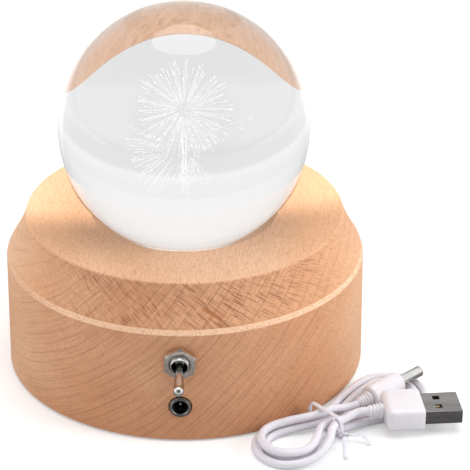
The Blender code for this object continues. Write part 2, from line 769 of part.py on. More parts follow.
def make_socket():
    """Metal barrel, insulator, pin, spring leaf and nut, on the socket's axis."""
    back = -socket_length
    mouth = socket_proud
    outline = [(socket_inner_radius, back), (socket_radius, back),
               (socket_radius, mouth - socket_chamfer / 2), (socket_radius - socket_chamfer, mouth),
               (socket_mouth_radius, mouth), (socket_mouth_radius, mouth - socket_lip_thickness),
               (socket_inner_radius, mouth - socket_lip_thickness)]
    keep("socket_barrel", outward(turned("socket_barrel", outline, True), socket_face), zinc)

    front_end = mouth - socket_lip_thickness - gap
    wall_end = back - insulator_back
    hole = socket_pin_radius + fine_gap
    outline = [(hole, wall_end), (insulator_radius, wall_end), (insulator_radius, front_end),
               (insulator_bore_radius, front_end), (insulator_bore_radius, back), (hole, back)]
    insulator = keep("socket_insulator", turned("socket_insulator", outline, True), socket_black)
    slot_half = leaf_width / 2 + leaf_slot_clearance
    slot_in = leaf_distance - leaf_thickness / 2 - leaf_slot_clearance
    combine(insulator, box("slot", (-slot_half, -insulator_radius - overrun,
                                    wall_end - overrun),
                           (slot_half, -slot_in, front_end + overrun)), 'DIFFERENCE')
    insulator.data = outward(insulator.data, socket_face)

    tail = -(socket_tail_end - front)
    tip = -socket_pin_setback
    outline = [(0, tail), (socket_pin_radius, tail), (socket_pin_radius, tip - socket_pin_radius)]
    outline += arc((0, tip - socket_pin_radius), socket_pin_radius, math.pi / 8, math.pi / 2,
                   3)[:-1]
    outline += [(0, tip)]
    pin = turned("socket_pin", outline, False, fine_steps // 2)
    keep("socket_pin", outward(pin, socket_face), brass)

    leaf = box("socket_leaf", (-leaf_width / 2, -leaf_distance - leaf_thickness / 2, tail),
               (leaf_width / 2, -leaf_distance + leaf_thickness / 2, back + leaf_length))
    keep("socket_leaf", outward(leaf, socket_face), silver, False)

    nut_high = front - socket_nut_face
    nut_low = nut_high - socket_nut_thickness
    nut = keep("socket_nut", prism("socket_nut", hexagon(socket_nut_width), nut_low, nut_high),
               zinc, False)
    bore = socket_radius + gap
    combine(nut, turned("bore", [(0, nut_low - overrun), (bore, nut_low - overrun),
                                 (bore, nut_high + overrun), (0, nut_high + overrun)], False),
            'DIFFERENCE')
    nut.data = outward(nut.data, socket_face)


# Wires inside the base. Their middle points are chosen by hand, in metres: some counted from
# the wire's start, the others from its end.

feed_near = ((0, 0.0055, -0.0004), (0, 0.0077, -0.0030))
feed_far = ((0, 0.0137, 0.0038), (0, 0.0107, 0.0007), (0, 0.0047, 0))
switched_near = ((0, 0.0047, 0), (-0.0010, 0.0097, -0.0014))
switched_far = ((0.0030, -0.0100, -0.0068), (0.0007, -0.0040, -0.0068), (0, -0.0005, -0.0043))
return_near = ((0, 0.0047, 0), (0.0010, 0.0107, -0.0004))
return_far = ((-0.0025, -0.0130, -0.0206), (-0.0005, -0.0050, -0.0158), (0, -0.0010, -0.0088))
board_wire_offset = 0.0065
board_wire_setback = 0.0110


def make_wires():
    """Red feed from socket to switch, red wire to the board, black return to the socket."""
    low_terminal = Vector((0, terminal_end + gap, switch_height - terminal_spacing))
    middle_terminal = Vector((0, terminal_end + gap, switch_height))
    pin_end = Vector((0, socket_tail_end + gap, socket_height))
    leaf_end = Vector((0, socket_tail_end + gap, socket_height - leaf_distance))
    board = board_low - gap
    live_pad = Vector((-board_wire_offset, -board_wire_setback, board))
    return_pad = Vector((board_wire_offset, -board_wire_setback, board))
    out = Vector((0, 1, 0))
    down = Vector((0, 0, -1))
    for name, start, start_way, near, far, end, end_way, material in (
            ("feed_wire", low_terminal, out, feed_near, feed_far, pin_end, out, red),
            ("switched_wire", middle_terminal, out, switched_near, switched_far, live_pad, down,
             red),
            ("return_wire", leaf_end, out, return_near, return_far, return_pad, down, black)):
        middle = [start + Vector(step) for step in near] + [end + Vector(step) for step in far]
        route = run_between(start, start_way, middle, end, end_way, wire_radius * 2,
                            wire_radius * 4)
        tube(name, route, wire_radius, material, 2)


# Power lead: a hank of two and a half turns in two layers, drawn in at the waist

def ease(share):
    """Run smoothly from 0 to 1 as share does."""
    share = min(max(share, 0.0), 1.0)
    return share * share * (3 - 2 * share)


def loop_point(turn):
    """Return (along, across) on the loop that all strands follow, at a share of one turn.

    The turn starts at the waist on the side away from the lamp, runs to the near bends, back
    through the waist, round the far bends and home. Each bend takes bend_points of the points.
    """
    share = turn % 1.0 * points_per_turn
    run = (points_per_turn / 2 - bend_points) / 2
    half = points_per_turn / 2
    mirrored = share > half
    if mirrored:
        share -= half
    radius, distance, way, shift = ((far_bend_radius, far_bend_distance, 1, far_bend_shift)
                                    if mirrored else
                                    (near_bend_radius, near_bend_distance, -1, 0.0))
    side = -1 if mirrored else 1
    if share < run or share > half - run:
        reach = (share if share < run else half - share) / run
        along = distance * reach
        across = waist_half_gap + (radius - waist_half_gap) * ease(reach)
        if share > half - run:
            across = -across
    else:
        angle = math.pi * (share - run) / bend_points
        along = distance + radius * math.sin(angle)
        across = radius * math.cos(angle)
    return way * along, side * across - shift * ease(along / distance)


def strand(turn):
    """Return the centre of the lead (along, across, height) after a number of turns."""
    small = 0.0005
    before = loop_point(turn - small)
    here = loop_point(turn)
    after = loop_point(turn + small)
    way = Vector((after[0] - before[0], after[1] - before[1])).normalized()
    offset = 1.5 - turn
    if turn < 0.25:
        offset = 0.62 + 0.75 * ease(turn / 0.12)
    if turn > 2.0:
        offset = -0.5 + 1.25 * ease((turn - 2.0) / 0.22) - 0.75 * ease((turn - 2.24) / 0.26)
    offset *= loop_pitch
    height = layer_low + loop_pitch * ease((turn - 1.9) / 0.2)
    if turn < 0.25:
        height += loop_pitch * (1 - ease((turn - 0.04) / 0.18))
    nearness = max(0.0, 1 - abs(here[0]) / near_bend_distance)
    height += waist_lift * ease(nearness * 1.4)
    return here[0] + way.y * offset, here[1] - way.x * offset, height


def hank_to_world(along, across, height):
    """Turn a place in the hank's own frame into the world's."""
    cosine, sine = math.cos(hank_direction), math.sin(hank_direction)
    return Vector((hank_place[0] + along * cosine + across * sine,
                   hank_place[1] + along * sine - across * cosine, height))


def hank_route():
    """The lead's centre line through its loops, with a straight end of one diameter each."""
    count = round(turns * points_per_turn)
    route = [hank_to_world(*strand(i / points_per_turn)) for i in range(count + 1)]
    length = cord_radius * 2
    along, across, height = strand(0.0)
    first = hank_to_world(along + length, across, height)
    along, across, height = strand(turns)
    last = hank_to_world(along + length, across, height)
    return [first] + route + [last]


def least_gap(route):
    """Return the least gap between far stretches of the lead, measured on points."""
    fine = []
    for start, end in zip(route, route[1:]):
        fine += [start.lerp(end, i / 6) for i in range(6)]
    travelled = [0.0]
    for start, end in zip(fine, fine[1:]):
        travelled.append(travelled[-1] + (end - start).length)
    least = math.inf
    for i, first in enumerate(fine):
        for j in range(i + 1, len(fine)):
            if travelled[j] - travelled[i] > cord_radius * 8:
                least = min(least, (fine[j] - first).length)
    return least - cord_radius * 2


def plug_way(yaw, pitch):
    """The direction in which a plug points."""
    return Vector((math.cos(yaw) * math.cos(pitch), math.sin(yaw) * math.cos(pitch),
                   -math.sin(pitch)))


# Middle points of the lead's free ends, chosen by hand, in metres.
usb_lead_middle = ((0.0550, -0.0497, 0.0066),)
dc_lead_middle = ((0.0515, -0.0431, 0.0043),)


def make_lead():
    """The hank, the two free ends and the twist tie."""
    route = hank_route()
    tube("cord_hank", route, cord_radius, white, 1)
    print("least gap of the hank to itself, mm:", round(least_gap(route) * 1000, 2))
    for name, end, inner, middle, place, yaw, pitch in (
            ("usb_lead", route[0], route[1], usb_lead_middle, usb_place, usb_yaw, usb_pitch),
            ("dc_lead", route[-1], route[-2], dc_lead_middle, dc_place, dc_yaw, dc_pitch)):
        way = (end - inner).normalized()
        back = -plug_way(yaw, pitch)
        free = run_between(end + way * gap, way, [Vector(point) for point in middle],
                           Vector(place) + back * gap, back, cord_radius,
                           cord_radius * 1.6)
        tube(name, free, cord_radius, white, 2)

    clearance = cord_radius + tie_radius + tie_side_clearance
    lamp_side = strand(0.5)[1] - clearance
    plug_side = strand(0.0)[1] + clearance
    top = layer_high + waist_lift + clearance
    low = tie_radius + fine_gap
    corner = cord_radius
    knot = layer_high * 0.55
    wire = tie_radius * 2 + fine_gap * 2
    path = [(-wire * 7, plug_side + wire * 9, low),
            (-wire * 5, plug_side + wire * 6, low + wire),
            (-wire * 2, plug_side + wire * 3, knot),
            (-wire / 2, plug_side + wire, knot + corner / 2),
            (-wire / 2, plug_side, top - corner), (-wire / 2, plug_side - corner, top),
            (-wire / 2, lamp_side + corner, top), (-wire / 2, lamp_side, top - corner),
            (0, lamp_side, low + corner), (0, lamp_side + corner, low),
            (wire / 2, plug_side - corner / 2, low), (wire / 2, plug_side + wire / 2, low + corner / 2),
            (wire / 2, plug_side + wire, knot - corner / 2),
            (wire * 2, plug_side + wire * 3, knot),
            (wire * 4, plug_side + wire * 5, low + wire * 2),
            (wire * 4, plug_side + wire * 8, low)]
    tube("twist_tie", [hank_to_world(*point) for point in path], tie_radius, white, 1)


# Plugs of the lead. Each is built along +X from the end of its strain relief.

def relief_outline(start):
    """Outline (radius, distance) of a ribbed strain relief."""
    outline = [(0, start), (relief_start_radius, start)]
    for i in range(relief_rib_count):
        share = (i + 1) / (relief_rib_count + 1)
        radius = relief_start_radius + (relief_end_radius - relief_start_radius) * share
        middle = start + relief_length * share
        step = relief_length / (relief_rib_count + 1) / 4
        outline += [(radius, middle - step * 1.2), (radius - relief_groove_depth, middle - step),
                    (radius - relief_groove_depth, middle + step), (radius, middle + step * 1.2)]
    return outline + [(relief_end_radius, start + relief_length)]


def forward(mesh):
    """Lay a mesh turned round Z along +X."""
    mesh.transform(Matrix.Rotation(math.pi / 2, 4, 'Y'))
    return mesh


def make_usb_plug():
    """Moulded body with strain relief, metal shell, tongue and contacts."""
    holder = empty("usb_plug_place", usb_place, (0, usb_pitch, usb_yaw))
    start = relief_length
    end = start + usb_body_length
    half_width = usb_body_width / 2
    half_thickness = usb_body_thickness / 2
    bm = bmesh.new()
    bm.from_mesh(box("usb_body", (start, -half_width, -half_thickness),
                     (end, half_width, half_thickness)))
    back = [edge for edge in bm.edges
            if min(vert.co.x for vert in edge.verts) < start + fine_gap]
    bmesh.ops.bevel(bm, geom=back, offset=usb_body_round, segments=2, affect='EDGES',
                    profile=0.5)
    body = keep("usb_body", mesh_of(bm, "usb_body"), white)
    outline = relief_outline(0.0)
    outline += [(relief_end_radius, start + overrun), (0, start + overrun)]
    combine(body, forward(turned("relief", outline, False, fine_steps // 2)), 'UNION')
    shell_half_width = usb_shell_width / 2
    shell_half_thickness = usb_shell_thickness / 2
    combine(body, box("seat", (end - usb_shell_seat, -shell_half_width - gap,
                               -shell_half_thickness - gap),
                      (end + overrun, shell_half_width + gap, shell_half_thickness + gap)),
            'DIFFERENCE')

    shell_start = end - usb_shell_seat + gap
    shell_end = end + usb_shell_length
    shell = keep("usb_shell", box("usb_shell", (shell_start, -shell_half_width,
                                                -shell_half_thickness),
                                  (shell_end, shell_half_width, shell_half_thickness)),
                 zinc, False)
    inside_half_width = shell_half_width - usb_shell_sheet
    inside_half_thickness = shell_half_thickness - usb_shell_sheet
    combine(shell, box("inside", (shell_start - overrun, -inside_half_width,
                                  -inside_half_thickness),
                       (shell_end + overrun, inside_half_width, inside_half_thickness)),
            'DIFFERENCE')
    window = end + usb_window_setback
    for side in (-1, 1):
        middle = side * usb_window_spacing / 2
        combine(shell, box("window", (window - usb_window_side / 2, middle - usb_window_side / 2,
                                      -usb_shell_thickness),
                           (window + usb_window_side / 2, middle + usb_window_side / 2,
                            usb_shell_thickness)), 'DIFFERENCE')

    tongue_low = -inside_half_thickness + fine_gap
    tongue_high = tongue_low + usb_tongue_thickness
    tongue_half_width = inside_half_width - fine_gap
    tongue_end = shell_end - usb_tongue_setback
    tongue = keep("usb_tongue", box("usb_tongue", (shell_start, -tongue_half_width, tongue_low),
                                    (tongue_end, tongue_half_width, tongue_high)), white, False)
    contact_low = tongue_high + fine_gap
    contact = box("contact", (-usb_contact_length, -usb_contact_width / 2, 0),
                  (-usb_tongue_setback, usb_contact_width / 2, usb_contact_thickness))
    copies(keep("usb_contact", contact, brass, False),
           [(tongue_end, i * usb_contact_spacing, contact_low) for i in (-1.5, -0.5, 0.5, 1.5)],
           holder)
    carry(holder, body, shell, tongue)


def make_dc_plug():
    """Moulded body with strain relief, metal barrel, insulator and inner contact."""
    holder = empty("dc_plug_place", dc_place, (0, dc_pitch, dc_yaw))
    start = relief_length
    end = start + dc_body_length
    seat_radius = dc_barrel_radius + gap
    outline = relief_outline(0.0)
    outline += arc((dc_body_radius - dc_body_round, start + dc_body_round), dc_body_round,
                   -math.pi / 2, 0, 3)
    outline += arc((dc_body_radius - dc_body_round, end - dc_body_round), dc_body_round,
                   0, math.pi / 2, 3)
    outline += [(seat_radius, end), (seat_radius, end - dc_barrel_seat),
                (0, end - dc_barrel_seat)]
    body = keep("dc_body", forward(turned("dc_body", outline, False)), white)

    seat = end - dc_barrel_seat + gap
    tip = end + dc_barrel_length
    parts = []
    outer = dc_barrel_radius
    for name, sheet, finish_used, setback in (
            ("dc_barrel", dc_barrel_sheet, chrome, 0.0),
            ("dc_insulator", dc_insulator_sheet, socket_black, fine_gap),
            ("dc_contact", dc_contact_sheet, brass, gap)):
        inner = outer - sheet
        outline = [(inner, seat), (outer, seat), (outer, tip - setback), (inner, tip - setback)]
        parts.append(keep(name, forward(turned(name, outline, True)), finish_used))
        outer = inner - fine_gap
    carry(holder, body, *parts)


make_ball()
make_base()
make_underside()
make_light()
make_switch()
make_socket()
make_wires()
make_lead()
make_usb_plug()
make_dc_plug()
bpy.context.view_layer.update()
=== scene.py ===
"""Crystal ball lamp: an engraved glass ball on a stepped, turned beech base, with its power lead.

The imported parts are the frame, and this script makes and dresses what is seen around them.
Lengths are metres, +Z is up, and the front, where the switch and the socket are, faces -Y.
"""

import json
import logging
import math
import random
from dataclasses import dataclass
from enum import Enum
from typing import Iterable, Sequence

import bmesh
import bpy
from mathutils import Euler, Matrix, Vector


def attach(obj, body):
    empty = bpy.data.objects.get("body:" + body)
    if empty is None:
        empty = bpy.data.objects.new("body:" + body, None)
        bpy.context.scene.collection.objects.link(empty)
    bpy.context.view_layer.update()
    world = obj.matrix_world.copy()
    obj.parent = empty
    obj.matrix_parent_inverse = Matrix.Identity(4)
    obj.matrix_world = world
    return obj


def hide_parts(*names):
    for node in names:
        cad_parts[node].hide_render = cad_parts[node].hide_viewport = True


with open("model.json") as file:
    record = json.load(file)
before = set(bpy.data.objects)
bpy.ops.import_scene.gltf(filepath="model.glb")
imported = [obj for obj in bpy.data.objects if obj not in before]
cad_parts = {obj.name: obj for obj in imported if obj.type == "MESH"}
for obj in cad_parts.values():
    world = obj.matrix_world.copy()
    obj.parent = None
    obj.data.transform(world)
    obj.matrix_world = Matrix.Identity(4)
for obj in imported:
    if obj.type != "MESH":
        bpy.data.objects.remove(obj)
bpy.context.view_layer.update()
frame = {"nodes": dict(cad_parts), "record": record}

logging.basicConfig(level=logging.INFO, format="%(message)s")
log = logging.getLogger("crystal_ball_lamp")

Mesh = bpy.types.Mesh
Material = bpy.types.Material
Socket = bpy.types.NodeSocket
Sockets = bpy.types.bpy_prop_collection
Term = Socket | float | tuple
Colour = tuple[float, float, float]
Place = tuple[float, float, float]
Outline = list[tuple[float, float]]

QUARTER_TURN = math.pi / 2
MERGE_DISTANCE = 1e-7
WHITE = (1.0, 1.0, 1.0, 1.0)


class Body(Enum):
    """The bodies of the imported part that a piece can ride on."""

    LAMP = "lamp"
    TOGGLE = "toggle"
    BALL = "ball"


class Surface(Enum):
    """How the fine marks of a finish run."""

    EVEN = (1.0, 1.0, 1.0)
    ALONG_X = (0.04, 1.0, 1.0)


# Shader trees


class ShaderGraph:
    """Places and joins the nodes of one tree."""

    def __init__(self, tree: bpy.types.NodeTree) -> None:
        """Keep the tree that the nodes go in."""
        self.tree = tree

    def feed(self, node: bpy.types.Node, inputs: dict) -> None:
        """Set or link inputs of a node.

        Args:
            node: The node.
            inputs: Values or sockets by the input's name or number.
        """
        for name, value in inputs.items():
            if isinstance(value, Socket):
                self.tree.links.new(value, node.inputs[name])
            else:
                node.inputs[name].default_value = value

    def node(self, kind: str, inputs: dict | None = None, **settings: object) -> Sockets:
        """Add a node.

        Args:
            kind: The node's type.
            inputs: Values or sockets for its inputs, by name or number.
            **settings: Properties of the node.

        Returns:
            The new node's outputs.
        """
        made = self.tree.nodes.new(kind)
        for name, value in settings.items():
            setattr(made, name, value)
        self.feed(made, inputs or {})
        return made.outputs

    def out(self, kind: str, inputs: dict | None = None, **settings: object) -> Socket:
        """Add a node as node does, and return its first output."""
        return self.node(kind, inputs, **settings)[0]

    def math(self, operation: str, *terms: Term) -> Socket:
        """Add a Math node with values or sockets, and return its output."""
        return self.out("ShaderNodeMath", dict(enumerate(terms)), operation=operation)

    def plus(self, first: Term, second: Term) -> Socket:
        """Add two values or sockets."""
        return self.math("ADD", first, second)

    def minus(self, first: Term, second: Term) -> Socket:
        """Take the second value or socket from the first."""
        return self.math("SUBTRACT", first, second)

    def times(self, first: Term, second: Term) -> Socket:
        """Multiply two values or sockets."""
        return self.math("MULTIPLY", first, second)

    def over(self, first: Term, second: Term) -> Socket:
        """Divide the first value or socket by the second."""
        return self.math("DIVIDE", first, second)

    def larger(self, first: Term, second: Term) -> Socket:
        """Return the larger of two values or sockets."""
        return self.math("MAXIMUM", first, second)

    def sloped(self, value: Term, slope: Term, start: Term) -> Socket:
        """Return a value times a slope, plus a start."""
        return self.math("MULTIPLY_ADD", value, slope, start)

    def vector(self, operation: str, *terms: Term) -> Socket:
        """Add a Vector Math node and return its vector."""
        return self.out("ShaderNodeVectorMath", dict(enumerate(terms)), operation=operation)

    def measure(self, operation: str, *terms: Term) -> Socket:
        """Add a Vector Math node and return its value, such as a length."""
        return self.node("ShaderNodeVectorMath", dict(enumerate(terms)),
                         operation=operation)["Value"]

    def split(self, vector: Socket) -> Sockets:
        """Return the X, Y and Z of a vector."""
        return self.node("ShaderNodeSeparateXYZ", {0: vector})

    def xyz(self, x: Term, y: Term, z: Term) -> Socket:
        """Join three values or sockets to a vector."""
        return self.out("ShaderNodeCombineXYZ", {0: x, 1: y, 2: z})

    def remap(self, value: Term, low: float, high: float, new_low: Term = 0.0,
              new_high: Term = 1.0) -> Socket:
        """Map a value from one range to another, smoothly and clamped.

        Args:
            value: The socket to map.
            low: Where the old range starts.
            high: Where it ends.
            new_low: What low becomes, a value or a socket.
            new_high: What high becomes, a value or a socket.

        Returns:
            The mapped value's socket.
        """
        return self.out("ShaderNodeMapRange", {"Value": value, "From Min": low, "From Max": high,
                                               "To Min": new_low, "To Max": new_high},
                        interpolation_type="SMOOTHSTEP")

    def mix(self, factor: Term, first: Term, second: Term, blend: str = "MIX") -> Socket:
        """Mix two colours.

        Args:
            factor: Share of the second colour, a value or a socket.
            first: The first colour, a colour or a socket.
            second: The second colour, a colour or a socket.
            blend: The blend type.

        Returns:
            The mixed colour's socket.
        """
        colours = [(*colour, 1.0) if isinstance(colour, tuple) else colour
                   for colour in (first, second)]
        return self.node("ShaderNodeMix", {0: factor, 6: colours[0], 7: colours[1]},
                         data_type="RGBA", blend_type=blend)[2]

    def noise(self, vector: Socket, scale: Term, detail: float = 2.0,
              rough: float = 0.5) -> Socket:
        """Add 3-D noise.

        Args:
            vector: Where it is read.
            scale: Its scale, a value or a socket.
            detail: Its number of octaves.
            rough: How strong the finer octaves are.

        Returns:
            The noise value's socket.
        """
        return self.out("ShaderNodeTexNoise", {"Vector": vector, "Scale": scale,
                                               "Detail": detail, "Roughness": rough})

    def bump(self, height: Socket, strength: float, distance: float) -> Socket:
        """Return the normal of a bumpy surface."""
        return self.out("ShaderNodeBump", {"Height": height, "Strength": strength,
                                           "Distance": distance})

    def shared(self, tree: bpy.types.NodeTree, inputs: dict) -> Sockets:
        """Place a shared node group with its inputs, and return its outputs."""
        return self.node("ShaderNodeGroup", inputs, node_tree=tree)

    def seen_through_glass(self, path: Sockets) -> Socket:
        """Return 1 for what the camera sees through glass, and 0 for light that the wood gets.

        Args:
            path: The Light Path node's outputs.

        Returns:
            The mask's socket.
        """
        direct = self.minus(1.0, self.math("MINIMUM", path["Diffuse Depth"], 1.0))
        return self.times(path["Is Transmission Ray"], direct)


def new_group(name: str, values: Sequence[str],
              results: Sequence[str]) -> tuple[ShaderGraph, Sockets]:
    """Make an empty shader node group that takes a vector and some values.

    Args:
        name: The group's name.
        values: The names of its inputs after the vector.
        results: The names of its outputs.

    Returns:
        The graph of the group, and its inputs as sockets.
    """
    tree = bpy.data.node_groups.new(name, "ShaderNodeTree")
    tree.interface.new_socket("Vector", in_out="INPUT", socket_type="NodeSocketVector")
    for way, names in (("INPUT", values), ("OUTPUT", results)):
        for socket in names:
            tree.interface.new_socket(socket, in_out=way, socket_type="NodeSocketFloat")
    graph = ShaderGraph(tree)
    return graph, graph.node("NodeGroupInput")


class SharedEffects:
    """Shader node groups that the finishes use, each built once."""

    def __init__(self) -> None:
        """Build the groups."""
        self.fine_marks = self._fine_marks()
        self.wood_figure = self._wood_figure()

    @staticmethod
    def _fine_marks() -> bpy.types.NodeTree:
        """Build the faint unevenness of moulded, plated and rolled surfaces.

        Returns:
            The group, which gives a mask, a roughness between two limits and a height.
        """
        graph, given = new_group("fine_marks", ("Scale", "Smooth", "Rough"),
                                 ("Mask", "Roughness", "Height"))
        broad = graph.noise(given["Vector"], graph.times(given["Scale"], 0.16))
        fine = graph.noise(given["Vector"], given["Scale"], 3.0, 0.6)
        mask = graph.plus(graph.times(broad, 0.6), graph.times(fine, 0.4))
        roughness = graph.remap(mask, 0.35, 0.65, given["Smooth"], given["Rough"])
        graph.node("NodeGroupOutput", {"Mask": mask, "Roughness": roughness, "Height": fine})
        return graph.tree

    @staticmethod
    def _wood_figure() -> bpy.types.NodeTree:
        """Build beech as a solid: growth rings, rays and fibres round a pith along Y.

        Returns:
            The group, which gives masks of rings, streaks, rays, fibres, pores and clouds, and
            a height.
        """
        graph, given = new_group(
            "wood_figure", ("Ring Width", "Ray Width", "Fibre Width", "Pore Width"),
            ("Rings", "Streaks", "Rays", "Fibres", "Pores", "Clouds", "Height"))
        vector = given["Vector"]
        x, y, z = graph.split(vector)

        def drawn_out(share: float, scale: float, detail: float = 2.0) -> Socket:
            """Return broad noise that is drawn out along the grain."""
            return graph.noise(graph.vector("MULTIPLY", vector, (1.0, share, 1.0)), scale, detail)

        def cells(width: Socket, across: Socket, depth: float, run: float,
                  round_way: Socket) -> Socket:
            """Return places in cells of a width, so many widths deep and long."""
            return graph.xyz(graph.over(across, graph.times(width, depth)),
                             graph.over(y, graph.times(width, run)),
                             graph.over(round_way, width))

        reach = graph.math("SQRT", graph.plus(graph.times(x, x), graph.times(z, z)))
        drift = graph.times(graph.minus(drawn_out(0.25, 38.0), 0.5), 0.0035)
        turns = graph.over(graph.plus(reach, drift), given["Ring Width"])
        phase = graph.math("FRACT", turns)
        late = graph.times(graph.remap(phase, 0.76, 0.94), graph.remap(phase, 1.0, 0.96))
        angle = graph.math("ARCTAN2", z, x)
        long_way, round_way = graph.times(y, 60.0), graph.times(angle, 12.0)
        strength = graph.noise(graph.xyz(graph.math("FLOOR", turns), long_way, round_way),
                               0.71, 1.0)
        streaks = graph.noise(graph.xyz(graph.times(turns, 5.0), long_way, round_way),
                              1.0, 2.0, 0.6)
        ray_places = cells(given["Ray Width"], reach, 26.0, 16.0, graph.times(angle, 0.125))
        rays = graph.times(graph.remap(graph.noise(ray_places, 1.0, 1.0, 0.4), 0.555, 0.615),
                           graph.remap(drawn_out(0.4, 90.0, 1.0), 0.35, 0.62, 0.55, 1.0))
        fibres = graph.noise(cells(given["Fibre Width"], x, 1.0, 22.0, z), 1.0, 2.0, 0.55)
        pore_noise = graph.noise(cells(given["Pore Width"], x, 1.0, 4.0, z), 1.0, 0.0)
        graph.node("NodeGroupOutput", {
            "Rings": graph.times(late, graph.remap(strength, 0.32, 0.66, 0.2, 1.0)),
            "Streaks": streaks, "Rays": rays, "Fibres": fibres,
            "Pores": graph.remap(pore_noise, 0.60, 0.72), "Clouds": drawn_out(0.35, 24.0),
            "Height": graph.minus(graph.times(fibres, 0.6), rays)})
        return graph.tree


# Finishes


@dataclass(frozen=True)
class Coating:
    """What every finish has: a name, and inputs for one Principled shader."""

    slot: str

    def build(self, effects: SharedEffects) -> Material:
        """Make the material.

        Args:
            effects: The shared node groups.

        Returns:
            The material.
        """
        material = bpy.data.materials.new(self.slot)
        material.use_nodes = True
        graph = ShaderGraph(material.node_tree)
        graph.feed(graph.tree.nodes["Principled BSDF"], self.look(graph, effects))
        return material

    def look(self, graph: ShaderGraph, effects: SharedEffects) -> dict:
        """Return the shader's inputs by name.

        Args:
            graph: The material's graph.
            effects: The shared node groups.

        Returns:
            Values and sockets by the input's name.
        """
        raise NotImplementedError


@dataclass(frozen=True)
class Finish(Coating):
    """A moulded, plated or rolled finish with fine marks over it."""

    colour: Colour
    shade: Colour
    smooth: float
    rough: float
    scale: float = 900.0
    bump: float = 0.02
    metallic: float = 0.0
    coat: float = 0.0
    # A painted dark reflection: rims that turn away from the camera are darkened by this share
    # towards the colour below.
    edge: float = 0.0
    dark_reflection_colour: Colour = (0.02, 0.02, 0.02)
    surface: Surface = Surface.EVEN

    def look(self, graph: ShaderGraph, effects: SharedEffects) -> dict:
        """Return the shader's inputs by name.

        Args:
            graph: The material's graph.
            effects: The shared node groups.

        Returns:
            Values and sockets by the input's name.
        """
        place = graph.vector("MULTIPLY", graph.node("ShaderNodeTexCoord")["Object"],
                             self.surface.value)
        marks = graph.shared(effects.fine_marks, {"Vector": place, "Scale": self.scale,
                                                  "Smooth": self.smooth, "Rough": self.rough})
        tone = graph.mix(graph.remap(marks["Mask"], 0.35, 0.65), self.colour, self.shade)
        # Painted reflection: rims seen at a glance are darkened, as if they mirrored a dark room.
        if self.edge:
            grazing_reflection = graph.node("ShaderNodeLayerWeight", {"Blend": 0.5})["Facing"]
            tone = graph.mix(graph.remap(grazing_reflection, 0.35, 0.80, 0.0, self.edge), tone,
                             self.dark_reflection_colour)
        return {"Base Color": tone, "Roughness": marks["Roughness"],
                "Metallic": self.metallic, "Coat Weight": self.coat,
                "Normal": graph.bump(marks["Height"], self.bump, 0.0001)}


